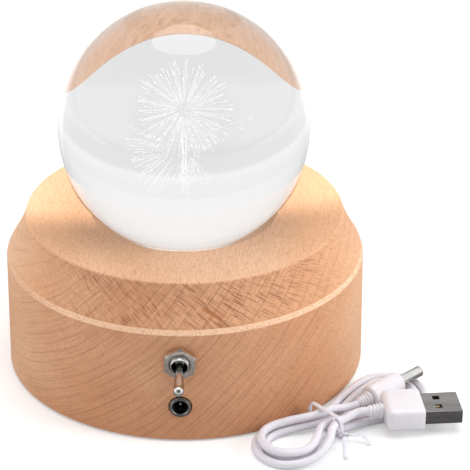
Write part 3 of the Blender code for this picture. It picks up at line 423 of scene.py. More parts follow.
@dataclass(frozen=True)
class Beech(Coating):
    """Oiled beech, turned: pale wood with arcs of growth rings, rays and dark flecks."""

    slot: str = "beech"
    pale: Colour = (0.87, 0.535, 0.335)
    warm: Colour = (0.78, 0.425, 0.232)
    ring: Colour = (0.60, 0.310, 0.168)
    fleck: Colour = (0.34, 0.140, 0.065)
    end_grain: Colour = (0.88, 0.775, 0.71)
    pith: Place = (-0.104, 0.0, 0.126)
    lean: float = math.radians(3)
    ring_width: float = 0.0029
    ray_width: float = 0.00024
    fibre_width: float = 0.00032
    pore_width: float = 0.00036
    # The band on the ledge's rim is painted pale: partly real burnish, partly a painted highlight
    # where the lamps catch the rounded edge.
    ledge: tuple[float, float] = (0.0378, 0.0395)
    ledge_fade: float = 0.0001
    burnish_and_highlight: Colour = (1.0, 0.67, 0.45)
    mark: Colour = (0.44, 0.15, 0.055)
    mark_place: Place = (0.0100, -0.0500, 0.0434)
    mark_slope: float = math.radians(-31)
    mark_half_length: float = 0.0040
    mark_half_width: float = 0.00085

    def look(self, graph: ShaderGraph, effects: SharedEffects) -> dict:
        """Return the shader's inputs by name.

        Args:
            graph: The material's graph.
            effects: The shared node groups.

        Returns:
            Values and sockets by the input's name.
        """
        coordinates = graph.node("ShaderNodeTexCoord")
        place = graph.out("ShaderNodeMapping", {
            "Vector": coordinates["Object"], "Rotation": (self.lean, 0.0, self.lean),
            "Location": tuple(-value for value in self.pith)})
        figure = graph.shared(effects.wood_figure, {
            "Vector": place, "Ring Width": self.ring_width, "Ray Width": self.ray_width,
            "Fibre Width": self.fibre_width, "Pore Width": self.pore_width})
        _, front, up = graph.split(coordinates["Normal"])
        side, _, height = graph.split(coordinates["Object"])
        end = graph.remap(graph.math("ABSOLUTE", front), 0.25, 0.9)
        top = graph.remap(up, 0.6, 0.95)
        flank = graph.remap(height, *self.ledge)
        wall = graph.times(graph.minus(1.0, top), graph.sloped(end, 0.6, 0.4))
        on_flank = graph.times(graph.times(flank, end), 0.68)

        tone = graph.mix(graph.remap(figure["Clouds"], 0.35, 0.68), self.pale, self.warm)
        for share, colour in (
                (graph.remap(figure["Fibres"], 0.42, 0.70, 0.0, 0.36), self.ring),
                (graph.times(graph.remap(figure["Streaks"], 0.40, 0.66),
                             graph.sloped(end, 0.34, 0.12)), self.ring),
                (graph.times(figure["Rings"],
                             graph.times(wall, graph.sloped(flank, 0.06, 0.36))), self.fleck),
                (graph.times(figure["Rays"],
                             graph.sloped(wall, graph.plus(on_flank, 0.06), 0.08)), self.fleck),
                (graph.times(figure["Pores"], graph.sloped(top, 0.04, 0.28)), self.mark)):
            tone = graph.mix(share, tone, colour)
        tone = graph.mix(end, tone, graph.mix(1.0, tone, self.end_grain, "MULTIPLY"))

        # Painted highlight on the ledge's rim, partly real burnish: a pale band with grain ticks
        # in it, painted weaker towards the left end, where less light falls.
        low, high = self.ledge
        ledge_highlight_mask = graph.times(
            graph.remap(height, low - self.ledge_fade, low + self.ledge_fade),
            graph.remap(height, high + self.ledge_fade, high - self.ledge_fade))
        ticks = graph.larger(graph.remap(figure["Fibres"], 0.50, 0.62, 0.0, 0.5),
                             graph.times(figure["Pores"], 0.7))
        lit = graph.remap(side, -0.054, -0.030, 0.25, 0.9)
        tone = graph.mix(graph.times(ledge_highlight_mask, lit), tone,
                         graph.mix(ticks, self.burnish_and_highlight, self.ring))
        tone = graph.mix(self._mark(graph, coordinates["Object"], front, figure["Fibres"]),
                         tone, self.mark)
        roughness = graph.plus(graph.remap(figure["Fibres"], 0.3, 0.7, 0.50, 0.62),
                               graph.times(figure["Rays"], 0.08))
        return {"Base Color": tone, "Roughness": roughness,
                "Normal": graph.bump(figure["Height"], 0.18, 0.00012)}

    def _mark(self, graph: ShaderGraph, place: Socket, front: Socket, fibres: Socket) -> Socket:
        """Return the mask of the short reddish mark on the front of the step.

        Args:
            graph: The material's graph.
            place: The object's coordinates.
            front: How far the surface faces the back, from -1 to 1.
            fibres: The mask of the fibres, which frays the mark.

        Returns:
            The mask's socket.
        """
        offset = graph.vector("SUBTRACT", place, self.mark_place)
        cosine, sine = math.cos(self.mark_slope), math.sin(self.mark_slope)
        along, across = (graph.math("ABSOLUTE", graph.measure("DOT_PRODUCT", offset, way))
                         for way in ((cosine, 0.0, sine), (-sine, 0.0, cosine)))
        half = self.mark_half_width
        frayed = graph.plus(across, graph.times(fibres, half * 0.8))
        mask = graph.times(graph.remap(frayed, half * 1.5, half * 0.6, 0.0, 0.85),
                           graph.remap(along, self.mark_half_length,
                                       self.mark_half_length * 0.6))
        return graph.times(mask, graph.remap(front, -0.3, -0.7))


@dataclass(frozen=True)
class ClearGlass(Coating):
    """Polished optical glass, which lets the lamps' light through to the wood under it."""

    slot: str = "clear_glass"
    colour: Colour = (0.930, 0.934, 0.938)
    refraction: float = 1.52
    shadow: float = 0.84

    def look(self, graph: ShaderGraph, effects: SharedEffects) -> dict:
        """Return the shader's inputs by name.

        Args:
            graph: The material's graph.
            effects: The shared node groups.

        Returns:
            Values and sockets by the input's name.
        """
        shadow_ray = graph.node("ShaderNodeLightPath")["Is Shadow Ray"]
        return {"Base Color": (*self.colour, 1.0), "Roughness": 0.0,
                "Transmission Weight": 1.0, "IOR": self.refraction,
                "Alpha": graph.sloped(shadow_ray, self.shadow - 1.0, 1.0)}


@dataclass(frozen=True)
class Engraving(Coating):
    """Fine white cracks inside the glass, which scatter the light, brightened by a painted glow.
    """

    slot: str = "engraving"
    colour: Colour = (0.97, 0.97, 0.98)
    shade: Colour = (0.86, 0.87, 0.90)
    scale: float = 2600.0
    smooth: float = 0.6
    rough: float = 0.9
    # A painted glow: emission that brightens the cracks, though they give no light.
    painted_glow: float = 0.32
    cover: tuple[float, float] = (0.28, 0.68)

    def look(self, graph: ShaderGraph, effects: SharedEffects) -> dict:
        """Return the shader's inputs by name.

        Args:
            graph: The material's graph.
            effects: The shared node groups.

        Returns:
            Values and sockets by the input's name.
        """
        marks = graph.shared(effects.fine_marks, {
            "Vector": graph.node("ShaderNodeTexCoord")["Object"], "Scale": self.scale,
            "Smooth": self.smooth, "Rough": self.rough})
        # The emission is a painted glow that stands in for lamp light reaching the cracks through
        # the glass.
        return {"Base Color": graph.mix(marks["Mask"], self.colour, self.shade),
                "Roughness": marks["Roughness"], "Emission Color": WHITE,
                "Emission Strength": self.painted_glow,
                "Alpha": graph.remap(marks["Mask"], 0.4, 0.6, *self.cover)}


FINISHES: tuple[Coating, ...] = (
    Beech(),
    ClearGlass(),
    Engraving(),
    Finish("black_foam", (0.040, 0.040, 0.042), (0.022, 0.022, 0.024), 0.85, 0.98, 1400.0, 0.5),
    Finish("cover_board", (0.44, 0.29, 0.17), (0.33, 0.21, 0.12), 0.6, 0.8, 1300.0, 0.2),
    Finish("frosted_acrylic", (0.93, 0.93, 0.91), (0.90, 0.90, 0.88), 0.38, 0.5, 1500.0, 0.05),
    Finish("white_board", (0.86, 0.87, 0.85), (0.80, 0.81, 0.79), 0.3, 0.42, 700.0, 0.03),
    Finish("emitter", (0.93, 0.80, 0.36), (0.88, 0.74, 0.30), 0.25, 0.4, 900.0, 0.03),
    Finish("zinc_steel", (0.60, 0.60, 0.58), (0.48, 0.48, 0.47), 0.22, 0.42, 1200.0, 0.05, 1.0),
    Finish("dark_steel", (0.38, 0.365, 0.34), (0.28, 0.27, 0.25), 0.2, 0.36, 1300.0, 0.05, 1.0),
    # Chrome gets the painted dark reflection on its rims.
    Finish("chrome", (0.80, 0.79, 0.77), (0.70, 0.69, 0.67), 0.09, 0.20, 1500.0, 0.03, 1.0,
           edge=0.75),
    Finish("nickel", (0.80, 0.72, 0.66), (0.62, 0.56, 0.50), 0.22, 0.38, 1500.0, 0.06, 1.0),
    Finish("blue_phenolic", (0.045, 0.12, 0.34), (0.03, 0.09, 0.27), 0.35, 0.5, 800.0, 0.05),
    Finish("silvered_brass", (0.76, 0.74, 0.69), (0.62, 0.60, 0.55), 0.2, 0.4, 1300.0, 0.04, 1.0),
    Finish("white_nylon", (0.84, 0.83, 0.79), (0.78, 0.77, 0.73), 0.4, 0.55, 900.0, 0.04),
    Finish("black_plastic", (0.020, 0.020, 0.021), (0.012, 0.012, 0.013), 0.32, 0.48, 1000.0,
           0.05),
    Finish("brass", (0.74, 0.56, 0.26), (0.62, 0.45, 0.20), 0.2, 0.36, 1200.0, 0.04, 1.0),
    Finish("red_wire", (0.58, 0.03, 0.02), (0.48, 0.02, 0.015), 0.35, 0.5, 1000.0, 0.05),
    Finish("black_wire", (0.022, 0.022, 0.024), (0.014, 0.014, 0.015), 0.35, 0.5, 1000.0, 0.05),
    Finish("white_cord", (0.80, 0.78, 0.84), (0.75, 0.73, 0.79), 0.34, 0.48, 1100.0, 0.06),
    Finish("white_moulding", (0.82, 0.80, 0.84), (0.78, 0.76, 0.80), 0.22, 0.34, 1400.0, 0.05,
           coat=0.25),
    Finish("plug_steel", (0.28, 0.27, 0.265), (0.20, 0.195, 0.19), 0.24, 0.40, 1500.0, 0.05, 1.0,
           surface=Surface.ALONG_X),
)


# Mesh helpers


def in_scene(name: str, data: bpy.types.ID) -> bpy.types.Object:
    """Add an object to the scene.

    Args:
        name: The object's name.
        data: Its mesh, curve, light or camera.

    Returns:
        The object.
    """
    made = bpy.data.objects.new(name, data)
    bpy.context.scene.collection.objects.link(made)
    return made


def baked(carrier: bpy.types.Object, name: str) -> Mesh:
    """Turn an object and its modifier into a plain mesh, and remove the object.

    Args:
        carrier: The object.
        name: The mesh's name.

    Returns:
        The mesh.
    """
    bpy.context.view_layer.update()
    evaluated = carrier.evaluated_get(bpy.context.evaluated_depsgraph_get())
    result = bpy.data.meshes.new_from_object(evaluated)
    result.name = name
    bpy.data.objects.remove(carrier, do_unlink=True)
    return result


def written(bm: bmesh.types.BMesh, mesh: Mesh) -> Mesh:
    """Write an edited shape into a mesh and free it.

    Args:
        bm: The edited shape.
        mesh: The mesh that it goes in.

    Returns:
        The mesh.
    """
    bm.to_mesh(mesh)
    bm.free()
    return mesh


def polyline(points: Sequence[Sequence[float]], closed: bool = False) -> Mesh:
    """Make a mesh of edges through points.

    Args:
        points: The points.
        closed: Whether the last joins the first.

    Returns:
        The mesh.
    """
    mesh = bpy.data.meshes.new("line")
    edges = [(i, i + 1) for i in range(len(points) - 1)]
    if closed:
        edges.append((len(points) - 1, 0))
    mesh.from_pydata([tuple(point) for point in points], edges, [])
    return mesh


def outward(mesh: Mesh) -> Mesh:
    """Merge a mesh's doubles and point its faces out.

    Args:
        mesh: The mesh.

    Returns:
        The same mesh.
    """
    bm = bmesh.new()
    bm.from_mesh(mesh)
    bmesh.ops.remove_doubles(bm, verts=bm.verts, dist=MERGE_DISTANCE)
    bmesh.ops.recalc_face_normals(bm, faces=bm.faces)
    if bm.calc_volume(signed=True) < 0:
        bmesh.ops.reverse_faces(bm, faces=bm.faces)
    return written(bm, mesh)


def joined(name: str, meshes: Iterable[Mesh]) -> Mesh:
    """Put meshes of one finish into one mesh.

    Args:
        name: The result's name.
        meshes: The meshes.

    Returns:
        The mesh that holds them all.
    """
    bm = bmesh.new()
    for mesh in meshes:
        bm.from_mesh(mesh)
    return written(bm, bpy.data.meshes.new(name))


def arc(centre: Sequence[float], radius: float, start: float, end: float, steps: int) -> Outline:
    """Return points on an arc of an outline.

    Args:
        centre: The arc's centre.
        radius: Its radius.
        start: Its first angle.
        end: Its last angle.
        steps: How many steps it takes.

    Returns:
        The points.
    """
    turns = [start + (end - start) * i / steps for i in range(steps + 1)]
    return [(centre[0] + radius * math.cos(turn), centre[1] + radius * math.sin(turn))
            for turn in turns]


def lofted(name: str, rings: Sequence[Sequence[Vector]], hollow: bool = False) -> Mesh:
    """Skin a row of rings of equally many points.

    Args:
        name: The mesh's name.
        rings: The rings, in order.
        hollow: Whether the last ring joins the first, in place of two end faces.

    Returns:
        The closed mesh.
    """
    bm = bmesh.new()
    rows = [[bm.verts.new(point) for point in ring] for ring in rings]
    for low, high in zip(rows, rows[1:] + (rows[:1] if hollow else [])):
        for i, corner in enumerate(low):
            j = (i + 1) % len(low)
            bm.faces.new((corner, low[j], high[j], high[i]))
    if not hollow:
        bm.faces.new(rows[0])
        bm.faces.new(rows[-1])
    return outward(written(bm, bpy.data.meshes.new(name)))


def rounded_ring(x: float, half_width: float, half_height: float, radius: float,
                 steps: int = 6) -> list[Vector]:
    """Return a rounded rectangle across X.

    Args:
        x: Where it stands.
        half_width: Half its size along Y.
        half_height: Half its size along Z.
        radius: The radius of its corners.
        steps: Steps in each corner.

    Returns:
        Its points.
    """
    ring = []
    for corner, (side, rise) in enumerate(((1, 1), (-1, 1), (-1, -1), (1, -1))):
        centre = (side * (half_width - radius), rise * (half_height - radius))
        start = corner * QUARTER_TURN
        ring += [Vector((x, y, z)) for y, z in arc(centre, radius, start,
                                                   start + QUARTER_TURN, steps)]
    return ring


def cut(mesh: Mesh, tool: Mesh, operation: str = "DIFFERENCE") -> Mesh:
    """Cut a tool's shape out of a mesh, or keep what they share.

    Args:
        mesh: The mesh to cut.
        tool: The shape to cut with.
        operation: The Boolean operation.

    Returns:
        The cut mesh.
    """
    blank, cutter = in_scene("blank", mesh), in_scene("cutter", tool)
    modifier = blank.modifiers.new("cut", "BOOLEAN")
    modifier.operation = operation
    modifier.solver = "EXACT"
    modifier.object = cutter
    result = baked(blank, mesh.name)
    bpy.data.objects.remove(cutter, do_unlink=True)
    return result


def box(low: Sequence[float], high: Sequence[float]) -> Mesh:
    """Make a box.

    Args:
        low: Its low corner.
        high: Its high corner.

    Returns:
        The box's mesh.
    """
    bm = bmesh.new()
    bmesh.ops.create_cube(bm, size=1.0)
    for vert in bm.verts:
        vert.co = Vector(low[i] if vert.co[i] < 0 else high[i] for i in range(3))
    return written(bm, bpy.data.meshes.new("box"))


def bevelled(mesh: Mesh, width: float, angle: float = 30.0, segments: int = 2) -> Mesh:
    """Round the edges of a mesh that turn by more than an angle.

    Args:
        mesh: The mesh.
        width: The width of the rounding.
        angle: The least turn, in degrees.
        segments: Steps across the rounding.

    Returns:
        The rounded mesh.
    """
    bm = bmesh.new()
    bm.from_mesh(mesh)
    limit = math.radians(angle)
    edges = [edge for edge in bm.edges if edge.is_manifold and edge.calc_face_angle() > limit]
    bmesh.ops.bevel(bm, geom=edges, offset=width, segments=segments, affect="EDGES",
                    profile=0.5, clamp_overlap=True)
    return written(bm, mesh)


def placed(mesh: Mesh, matrix: Matrix) -> Mesh:
    """Move a mesh's points by a matrix and return it."""
    mesh.transform(matrix)
    return mesh


def facing_out(place: Sequence[float]) -> Matrix:
    """Return the matrix that lays +Z down along -Y at a place."""
    return Matrix.Translation(place) @ Matrix.Rotation(QUARTER_TURN, 4, "X")


def ease(share: float) -> float:
    """Run smoothly from 0 to 1 as share does."""
    share = min(max(share, 0.0), 1.0)
    return share * share * (3 - 2 * share)


def smooth_route(points: Sequence[Vector], spacing: float) -> list[Vector]:
    """Return even points on a smooth curve through a route's own points.

    Args:
        points: The route's points.
        spacing: About how far apart the new points are.

    Returns:
        The new points.
    """
    ends = [points[0] * 2 - points[1], *points, points[-1] * 2 - points[-2]]
    fine = []
    steps = 16
    for before, start, end, after in zip(ends, ends[1:], ends[2:], ends[3:]):
        for i in range(steps):
            t = i / steps
            fine.append((start * 2 + (end - before) * t
                         + (before * 2 - start * 5 + end * 4 - after) * t * t
                         + (start * 3 - before - end * 3 + after) * t * t * t) / 2)
    fine.append(points[-1])
    travelled = [0.0]
    for start, end in zip(fine, fine[1:]):
        travelled.append(travelled[-1] + (end - start).length)
    count = max(2, round(travelled[-1] / spacing))
    route = []
    index = 0
    for i in range(count + 1):
        wanted = travelled[-1] * i / count
        while index < len(fine) - 2 and travelled[index + 1] < wanted:
            index += 1
        share = (wanted - travelled[index]) / (travelled[index + 1] - travelled[index])
        route.append(fine[index].lerp(fine[index + 1], share))
    return route


# Geometry trees


class GeometryGraph(ShaderGraph):
    """Places and joins the nodes of one geometry tree, and runs it on a mesh."""

    def __init__(self, name: str, sizes: dict[str, str]) -> None:
        """Make the tree, which takes a start, its sizes and a finish.

        Args:
            name: The tree's name.
            sizes: Socket kinds by input name.
        """
        super().__init__(bpy.data.node_groups.new(name, "GeometryNodeTree"))
        self.identifiers = {}
        for socket, kind in {"Start": "Geometry", **sizes, "Finish": "Material"}.items():
            self.identifiers[socket] = self.tree.interface.new_socket(
                socket, in_out="INPUT", socket_type="NodeSocket" + kind).identifier
        self.tree.interface.new_socket("Form", in_out="OUTPUT",
                                       socket_type="NodeSocketGeometry")
        self.given = self.node("NodeGroupInput")

    def swept(self, curve: Socket, profile: Socket) -> Socket:
        """Sweep a profile along a curve."""
        return self.out("GeometryNodeCurveToMesh", {"Curve": curve, "Profile Curve": profile})

    def circle(self, resolution: Term, radius: Term) -> Socket:
        """Make a circle of so many points."""
        return self.out("GeometryNodeCurvePrimitiveCircle", {"Resolution": resolution,
                                                             "Radius": radius})

    def end(self, shape: Socket) -> None:
        """End the tree in Realize Instances and Set Material.

        Args:
            shape: What the tree has made.
        """
        real = self.out("GeometryNodeRealizeInstances", {0: shape})
        dressed = self.out("GeometryNodeSetMaterial", {"Geometry": real,
                                                       "Material": self.given["Finish"]})
        self.node("NodeGroupOutput", {"Form": dressed})

    def run(self, name: str, values: dict, source: Mesh | None = None) -> Mesh:
        """Run the tree on a mesh.

        Args:
            name: The result's name.
            values: The inputs' values by name.
            source: The mesh that goes in, where the tree needs one.

        Returns:
            The mesh that comes out.
        """
        carrier = in_scene(name, source or polyline(((0, 0, 0), (0, 0, 1))))
        modifier = carrier.modifiers.new(name, "NODES")
        modifier.node_group = self.tree
        for socket, value in values.items():
            modifier[self.identifiers[socket]] = value
        return baked(carrier, name)


class FormTrees:
    """The geometry trees: turning, balls, rows of ribs and bursts of spokes."""

    CORE = 0.001

    def __init__(self) -> None:
        """Build the trees."""
        self.turning = self._turning()
        self.ball = self._ball()
        self.ribs = self._ribs()
        self.burst = self._burst()

    def _turning(self) -> GeometryGraph:
        """Build the tree that turns an outline round Z.

        Returns:
            The tree, which starts from an outline and takes a number of flats.
        """
        tree = GeometryGraph("turning", {"Flats": "Int"})
        outline = tree.out("GeometryNodeMeshToCurve", {"Mesh": tree.given["Start"]})
        upright = tree.out("GeometryNodeSetCurveNormal",
                           {"Curve": tree.circle(tree.given["Flats"], self.CORE)}, mode="Z_UP")
        tree.end(tree.out("GeometryNodeMergeByDistance", {
            "Geometry": tree.swept(upright, outline), "Distance": MERGE_DISTANCE}))
        return tree

    @staticmethod
    def _ball() -> GeometryGraph:
        """Build the tree that makes a round ball.

        Returns:
            The tree, which takes a radius and a number of flats.
        """
        tree = GeometryGraph("ball", {"Radius": "Float", "Flats": "Int"})
        flats = tree.given["Flats"]
        tree.end(tree.out("GeometryNodeMeshUVSphere", {
            "Segments": flats, "Rings": tree.times(flats, 0.5), "Radius": tree.given["Radius"]}))
        return tree

    @staticmethod
    def _ribs() -> GeometryGraph:
        """Build the tree that sets round ribs in a row along Z.

        Returns:
            The tree, which takes a count, a pitch, two radii and a thickness.
        """
        tree = GeometryGraph("ribs", {"Count": "Int", "Pitch": "Float", "First Radius": "Float",
                                      "Last Radius": "Float", "Thickness": "Float"})
        given = tree.given
        row = tree.out("GeometryNodeMeshLine", {"Count": given["Count"],
                                                "Offset": tree.xyz(0.0, 0.0, given["Pitch"])})
        share = tree.over(tree.out("GeometryNodeInputIndex"),
                          tree.larger(tree.minus(given["Count"], 1.0), 1.0))
        growth = tree.minus(given["Last Radius"], given["First Radius"])
        radius = tree.plus(given["First Radius"], tree.times(share, growth))
        rings = tree.out("GeometryNodeInstanceOnPoints", {
            "Points": row, "Instance": tree.circle(48, 1.0),
            "Scale": tree.xyz(radius, radius, 1.0)})
        tree.end(tree.swept(tree.out("GeometryNodeRealizeInstances", {0: rings}),
                            tree.circle(10, given["Thickness"])))
        return tree

    @staticmethod
    def _burst() -> GeometryGraph:
        """Build the tree that sets a club-shaped spoke on each point, along its way.

        Returns:
            The tree, which starts from points with a way as long as the spoke, and takes two
            radii and the share of the club.
        """
        tree = GeometryGraph("burst", {"Stem Radius": "Float", "Club Radius": "Float",
                                       "Club Share": "Float"})
        given = tree.given
        way = tree.node("GeometryNodeInputNamedAttribute", {"Name": "way"},
                        data_type="FLOAT_VECTOR")["Attribute"]
        neck = tree.times(given["Stem Radius"], 1.5)
        stem = tree.out("GeometryNodeMeshCone", {
            "Vertices": 5, "Depth": 1.0, "Radius Top": neck,
            "Radius Bottom": given["Stem Radius"]})
        club = tree.out("GeometryNodeMeshCone", {
            "Vertices": 6, "Depth": given["Club Share"], "Radius Top": given["Club Radius"],
            "Radius Bottom": neck})
        tip = tree.out("GeometryNodeTransform", {"Geometry": club,
                                                 "Translation": tree.xyz(0.0, 0.0, 1.0)})
        spoke = tree.tree.nodes.new("GeometryNodeJoinGeometry")
        for part in (stem, tip):
            tree.feed(spoke, {0: part})
        tree.end(tree.out("GeometryNodeInstanceOnPoints", {
            "Points": given["Start"], "Instance": spoke.outputs[0],
            "Rotation": tree.out("FunctionNodeAlignRotationToVector", {"Vector": way}, axis="Z"),
            "Scale": tree.xyz(1.0, 1.0, tree.measure("LENGTH", way))}))
        return tree


# Putting pieces in the scene


class Bench:
    """Makes meshes of round forms, adds finished pieces and says what each one is."""

    def __init__(self) -> None:
        """Build the finishes and the geometry trees."""
        effects = SharedEffects()
        self.finishes = {finish.slot: finish.build(effects) for finish in FINISHES}
        self.forms = FormTrees()

    def turned(self, name: str, outline: Outline, flats: int, slot: str,
               closed: bool = False) -> Mesh:
        """Turn an outline of (radius, height) points round Z.

        Args:
            name: The mesh's name.
            outline: The outline's points.
            flats: Flats round the axis.
            slot: The finish.
            closed: Whether the outline is a closed ring.

        Returns:
            The turned mesh, its faces pointing out.
        """
        line = polyline([(radius - FormTrees.CORE, -height, 0.0) for radius, height in outline],
                        closed)
        return outward(self.forms.turning.run(
            name, {"Flats": flats, "Finish": self.finishes[slot]}, line))

    def ribs(self, name: str, start: float, sizes: dict, slot: str) -> Mesh:
        """Make a row of ribs round Z.

        Args:
            name: The mesh's name.
            start: The height of the first.
            sizes: The sizes of the tree of ribs, by name.
            slot: The finish.

        Returns:
            The mesh, its faces pointing out.
        """
        made = self.forms.ribs.run(name, {**sizes, "Finish": self.finishes[slot]})
        return outward(placed(made, Matrix.Translation((0, 0, start))))

    def add(self, name: str, shape: bpy.types.Mesh | bpy.types.Curve, slot: str,
            body: Body = Body.LAMP, replaces: Sequence[str] = (), sharp: float = 32.0,
            finish: str = "") -> bpy.types.Object:
        """Add a piece.

        Args:
            name: The piece's name.
            shape: Its mesh or curve, in place.
            slot: The record's material slot.
            body: The body that it rides on.
            replaces: The parts that it stands for.
            sharp: The angle, in degrees, past which an edge stays sharp.
            finish: Its finish, where it isn't the slot's own.

        Returns:
            The piece.
        """
        shape.materials.clear()
        shape.materials.append(self.finishes[finish or slot])
        if isinstance(shape, Mesh):
            shape.shade_smooth()
            shape.set_sharp_from_angle(angle=math.radians(sharp))
        piece = in_scene(name, shape)
        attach(piece, body.value)
        if replaces:
            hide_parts(*replaces)
        log.info("%s: rides on %s, stands for %s", name, body.value, ", ".join(replaces) or "-")
        return piece

    def dress_frame(self) -> None:
        """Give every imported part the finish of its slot."""
        for subpart in frame["record"]["subparts"]:
            part = frame["nodes"][subpart["node"]]
            material = self.finishes[subpart["material_slot"]]
            if not part.material_slots:
                part.data.materials.append(material)
            for holder in part.material_slots:
                holder.material = material
            log.info("%s: packed part in %s", part.name, material.name)


@dataclass
class Assembly:
    """A sub-assembly that is made on a bench."""

    bench: Bench

    def build(self) -> None:
        """Make the pieces."""
        raise NotImplementedError


# Studio


@dataclass(frozen=True)
class SoftLamp:
    """An oval soft lamp that shines at the object."""

    name: str
    place: Place
    size: tuple[float, float]
    watts: float
    seen: bool = False


@dataclass
class Studio:
    """Camera, lamps, world and floor."""

    azimuth: float = math.radians(1.89)
    elevation: float = math.radians(27.014)
    distance: float = 0.90833
    target_height: float = 0.05271
    roll: float = math.radians(-0.514)
    lens: float = 216.74
    shift: tuple[float, float] = (0.1072, -0.0591)
    floor_size: float = 8.0
    floor_gap: float = 0.00005
    floor_colour: float = 0.80
    floor_lift: float = 0.34
    # Painted shade in metal's reflections: the floor they see is darker close to the lamp.
    reflected_floor_shade: float = 0.25
    # The floor that the glass sees is painted: a painted shadow round the lamp, then a pale ring,
    # a grey ring and bright floor further out.
    glass_view_shadow_tone: float = 0.81
    glass_view_shade_bands: tuple[Place, ...] = (
        (0.112, 0.132, 0.06), (0.20, 0.25, -0.065), (0.33, 0.42, 0.155))
    sky: float = 0.37
    sky_through_glass: float = 0.96
    sky_behind_camera: float = 0.15
    room_angles: tuple[float, float] = (math.radians(58), math.radians(36))
    rear_watts: float = 400.0
    rear_angle: float = math.radians(16)
    rear_blend: float = 0.03
    rear_size: float = 0.004
    rear_place: Place = (0.065, -1.97, 1.23)
    rear_edge: Place = (-0.018, -0.014, 0.0526)
    lamp_aim: Place = (0.0, 0.0, 0.05)
    soft_lamps: tuple[SoftLamp, ...] = (
        SoftLamp("overhead", (0.08, -0.30, 1.05), (0.9, 0.9), 4.2),
        SoftLamp("reflected", (0.0, 0.36, 1.08), (0.82, 0.72), 2.9, True),
        SoftLamp("right_fill", (1.10, -0.20, 0.55), (0.6, 0.6), 7.8),
        SoftLamp("left_fill", (-1.15, -0.26, 0.34), (0.6, 0.6), 4.4))

    def camera_way(self) -> Vector:
        """Return the way from the lamp to the camera."""
        flat = math.cos(self.elevation)
        return Vector((math.sin(self.azimuth) * flat, -math.cos(self.azimuth) * flat,
                       math.sin(self.elevation)))

    def add_camera(self) -> None:
        """Set the camera at the photograph's viewing angle."""
        data = bpy.data.cameras.new("camera")
        data.lens = self.lens
        data.shift_x, data.shift_y = self.shift
        data.clip_start = 0.01
        camera = in_scene("camera", data)
        offset = self.camera_way()
        right = (-offset).cross(Vector((0, 0, 1))).normalized()
        above = right.cross(-offset)
        side = right * math.cos(self.roll) + above * math.sin(self.roll)
        top = above * math.cos(self.roll) - right * math.sin(self.roll)
        turn = Matrix((side, top, offset)).transposed().to_4x4()
        place = Vector((0.0, 0.0, self.target_height)) + offset * self.distance
        camera.matrix_world = Matrix.Translation(place) @ turn
        bpy.context.scene.camera = camera
        log.info("camera: %s", [round(value, 4) for value in place])

    def add_floor(self) -> None:
        """Lay the pale floor, which keeps the lamp's shadow.

        The floor is lifted to white for the camera. Metal sees it darker close to the lamp,
        a painted shade in its reflections. The glass sees painted shade and light on it: a
        painted shadow round the lamp, then a pale ring, a grey ring and bright floor further out.
        """
        half = self.floor_size / 2
        mesh = bpy.data.meshes.new("floor")
        mesh.from_pydata([(x, y, -self.floor_gap) for x, y in (
            (-half, -half), (half, -half), (half, half), (-half, half))], [], [(0, 1, 2, 3)])
        material = bpy.data.materials.new("floor")
        material.use_nodes = True
        graph = ShaderGraph(material.node_tree)
        path = graph.node("ShaderNodeLightPath")
        away = graph.measure("LENGTH", graph.node("ShaderNodeTexCoord")["Object"])
        # Painted shade: metal's reflections see the floor darker close to the lamp.
        near_metal = graph.remap(away, 0.13, 0.32, self.reflected_floor_shade, 1.0)
        reflected_shade_factor = graph.sloped(path["Is Glossy Ray"], graph.minus(near_metal, 1.0), 1.0)
        glass_view = graph.seen_through_glass(path)
        not_glass = graph.minus(1.0, glass_view)
        grey = graph.times(graph.times(reflected_shade_factor, not_glass), self.floor_colour)
        # Painted shadow and light that only the glass sees.
        tone = self.glass_view_shadow_tone
        for start, end, step in self.glass_view_shade_bands:
            tone = graph.plus(graph.remap(away, start, end, 0.0, step), tone)
        opaque_view = graph.larger(path["Is Camera Ray"], path["Is Glossy Ray"])
        lift = graph.times(graph.times(opaque_view, reflected_shade_factor), self.floor_lift)
        graph.feed(graph.tree.nodes["Principled BSDF"], {
            "Base Color": graph.out("ShaderNodeCombineColor", {0: grey, 1: grey, 2: grey}),
            "Emission Strength": graph.plus(graph.times(lift, not_glass),
                                            graph.times(tone, glass_view)),
            "Emission Color": WHITE, "Roughness": 0.9, "Specular IOR Level": 0.0})
        mesh.materials.append(material)
        floor = in_scene("floor", mesh)

    def add_world(self) -> None:
        """Light the scene evenly from a plain sky that is seen as white.

        Metal sees a dark room round the camera, and the glass sees the sky a little grey.
        """
        world = bpy.data.worlds.new("sky")
        world.use_nodes = True
        graph = ShaderGraph(world.node_tree)
        path = graph.node("ShaderNodeLightPath")
        way = graph.node("ShaderNodeTexCoord")["Generated"]
        behind = graph.remap(graph.measure("DOT_PRODUCT", way, tuple(self.camera_way())),
                             *(math.cos(angle) for angle in self.room_angles), 1.0,
                             self.sky_behind_camera)
        glass_view = graph.seen_through_glass(path)
        seen = graph.larger(
            graph.larger(path["Is Camera Ray"], graph.times(path["Is Glossy Ray"], behind)),
            graph.times(glass_view, self.sky_through_glass))
        other = graph.minus(1.0, graph.larger(
            path["Is Camera Ray"], graph.larger(path["Is Glossy Ray"], glass_view)))
        graph.feed(graph.tree.nodes["Background"], {
            "Color": WHITE, "Strength": graph.sloped(other, self.sky, seen)})
        bpy.context.scene.world = world

    @staticmethod
    def hang(name: str, data: bpy.types.Light, place: Sequence[float], aim: Sequence[float],
             seen: bool) -> None:
        """Hang a lamp and turn it to a place.

        Args:
            name: The lamp's name.
            data: Its light.
            place: Where it hangs.
            aim: Where it shines.
            seen: Whether metal and glass show it.
        """
        lamp = in_scene(name, data)
        lamp.location = place
        lamp.rotation_euler = (Vector(aim) - Vector(place)).to_track_quat("-Z", "Y").to_euler()
        lamp.visible_glossy = seen
        lamp.visible_transmission = seen

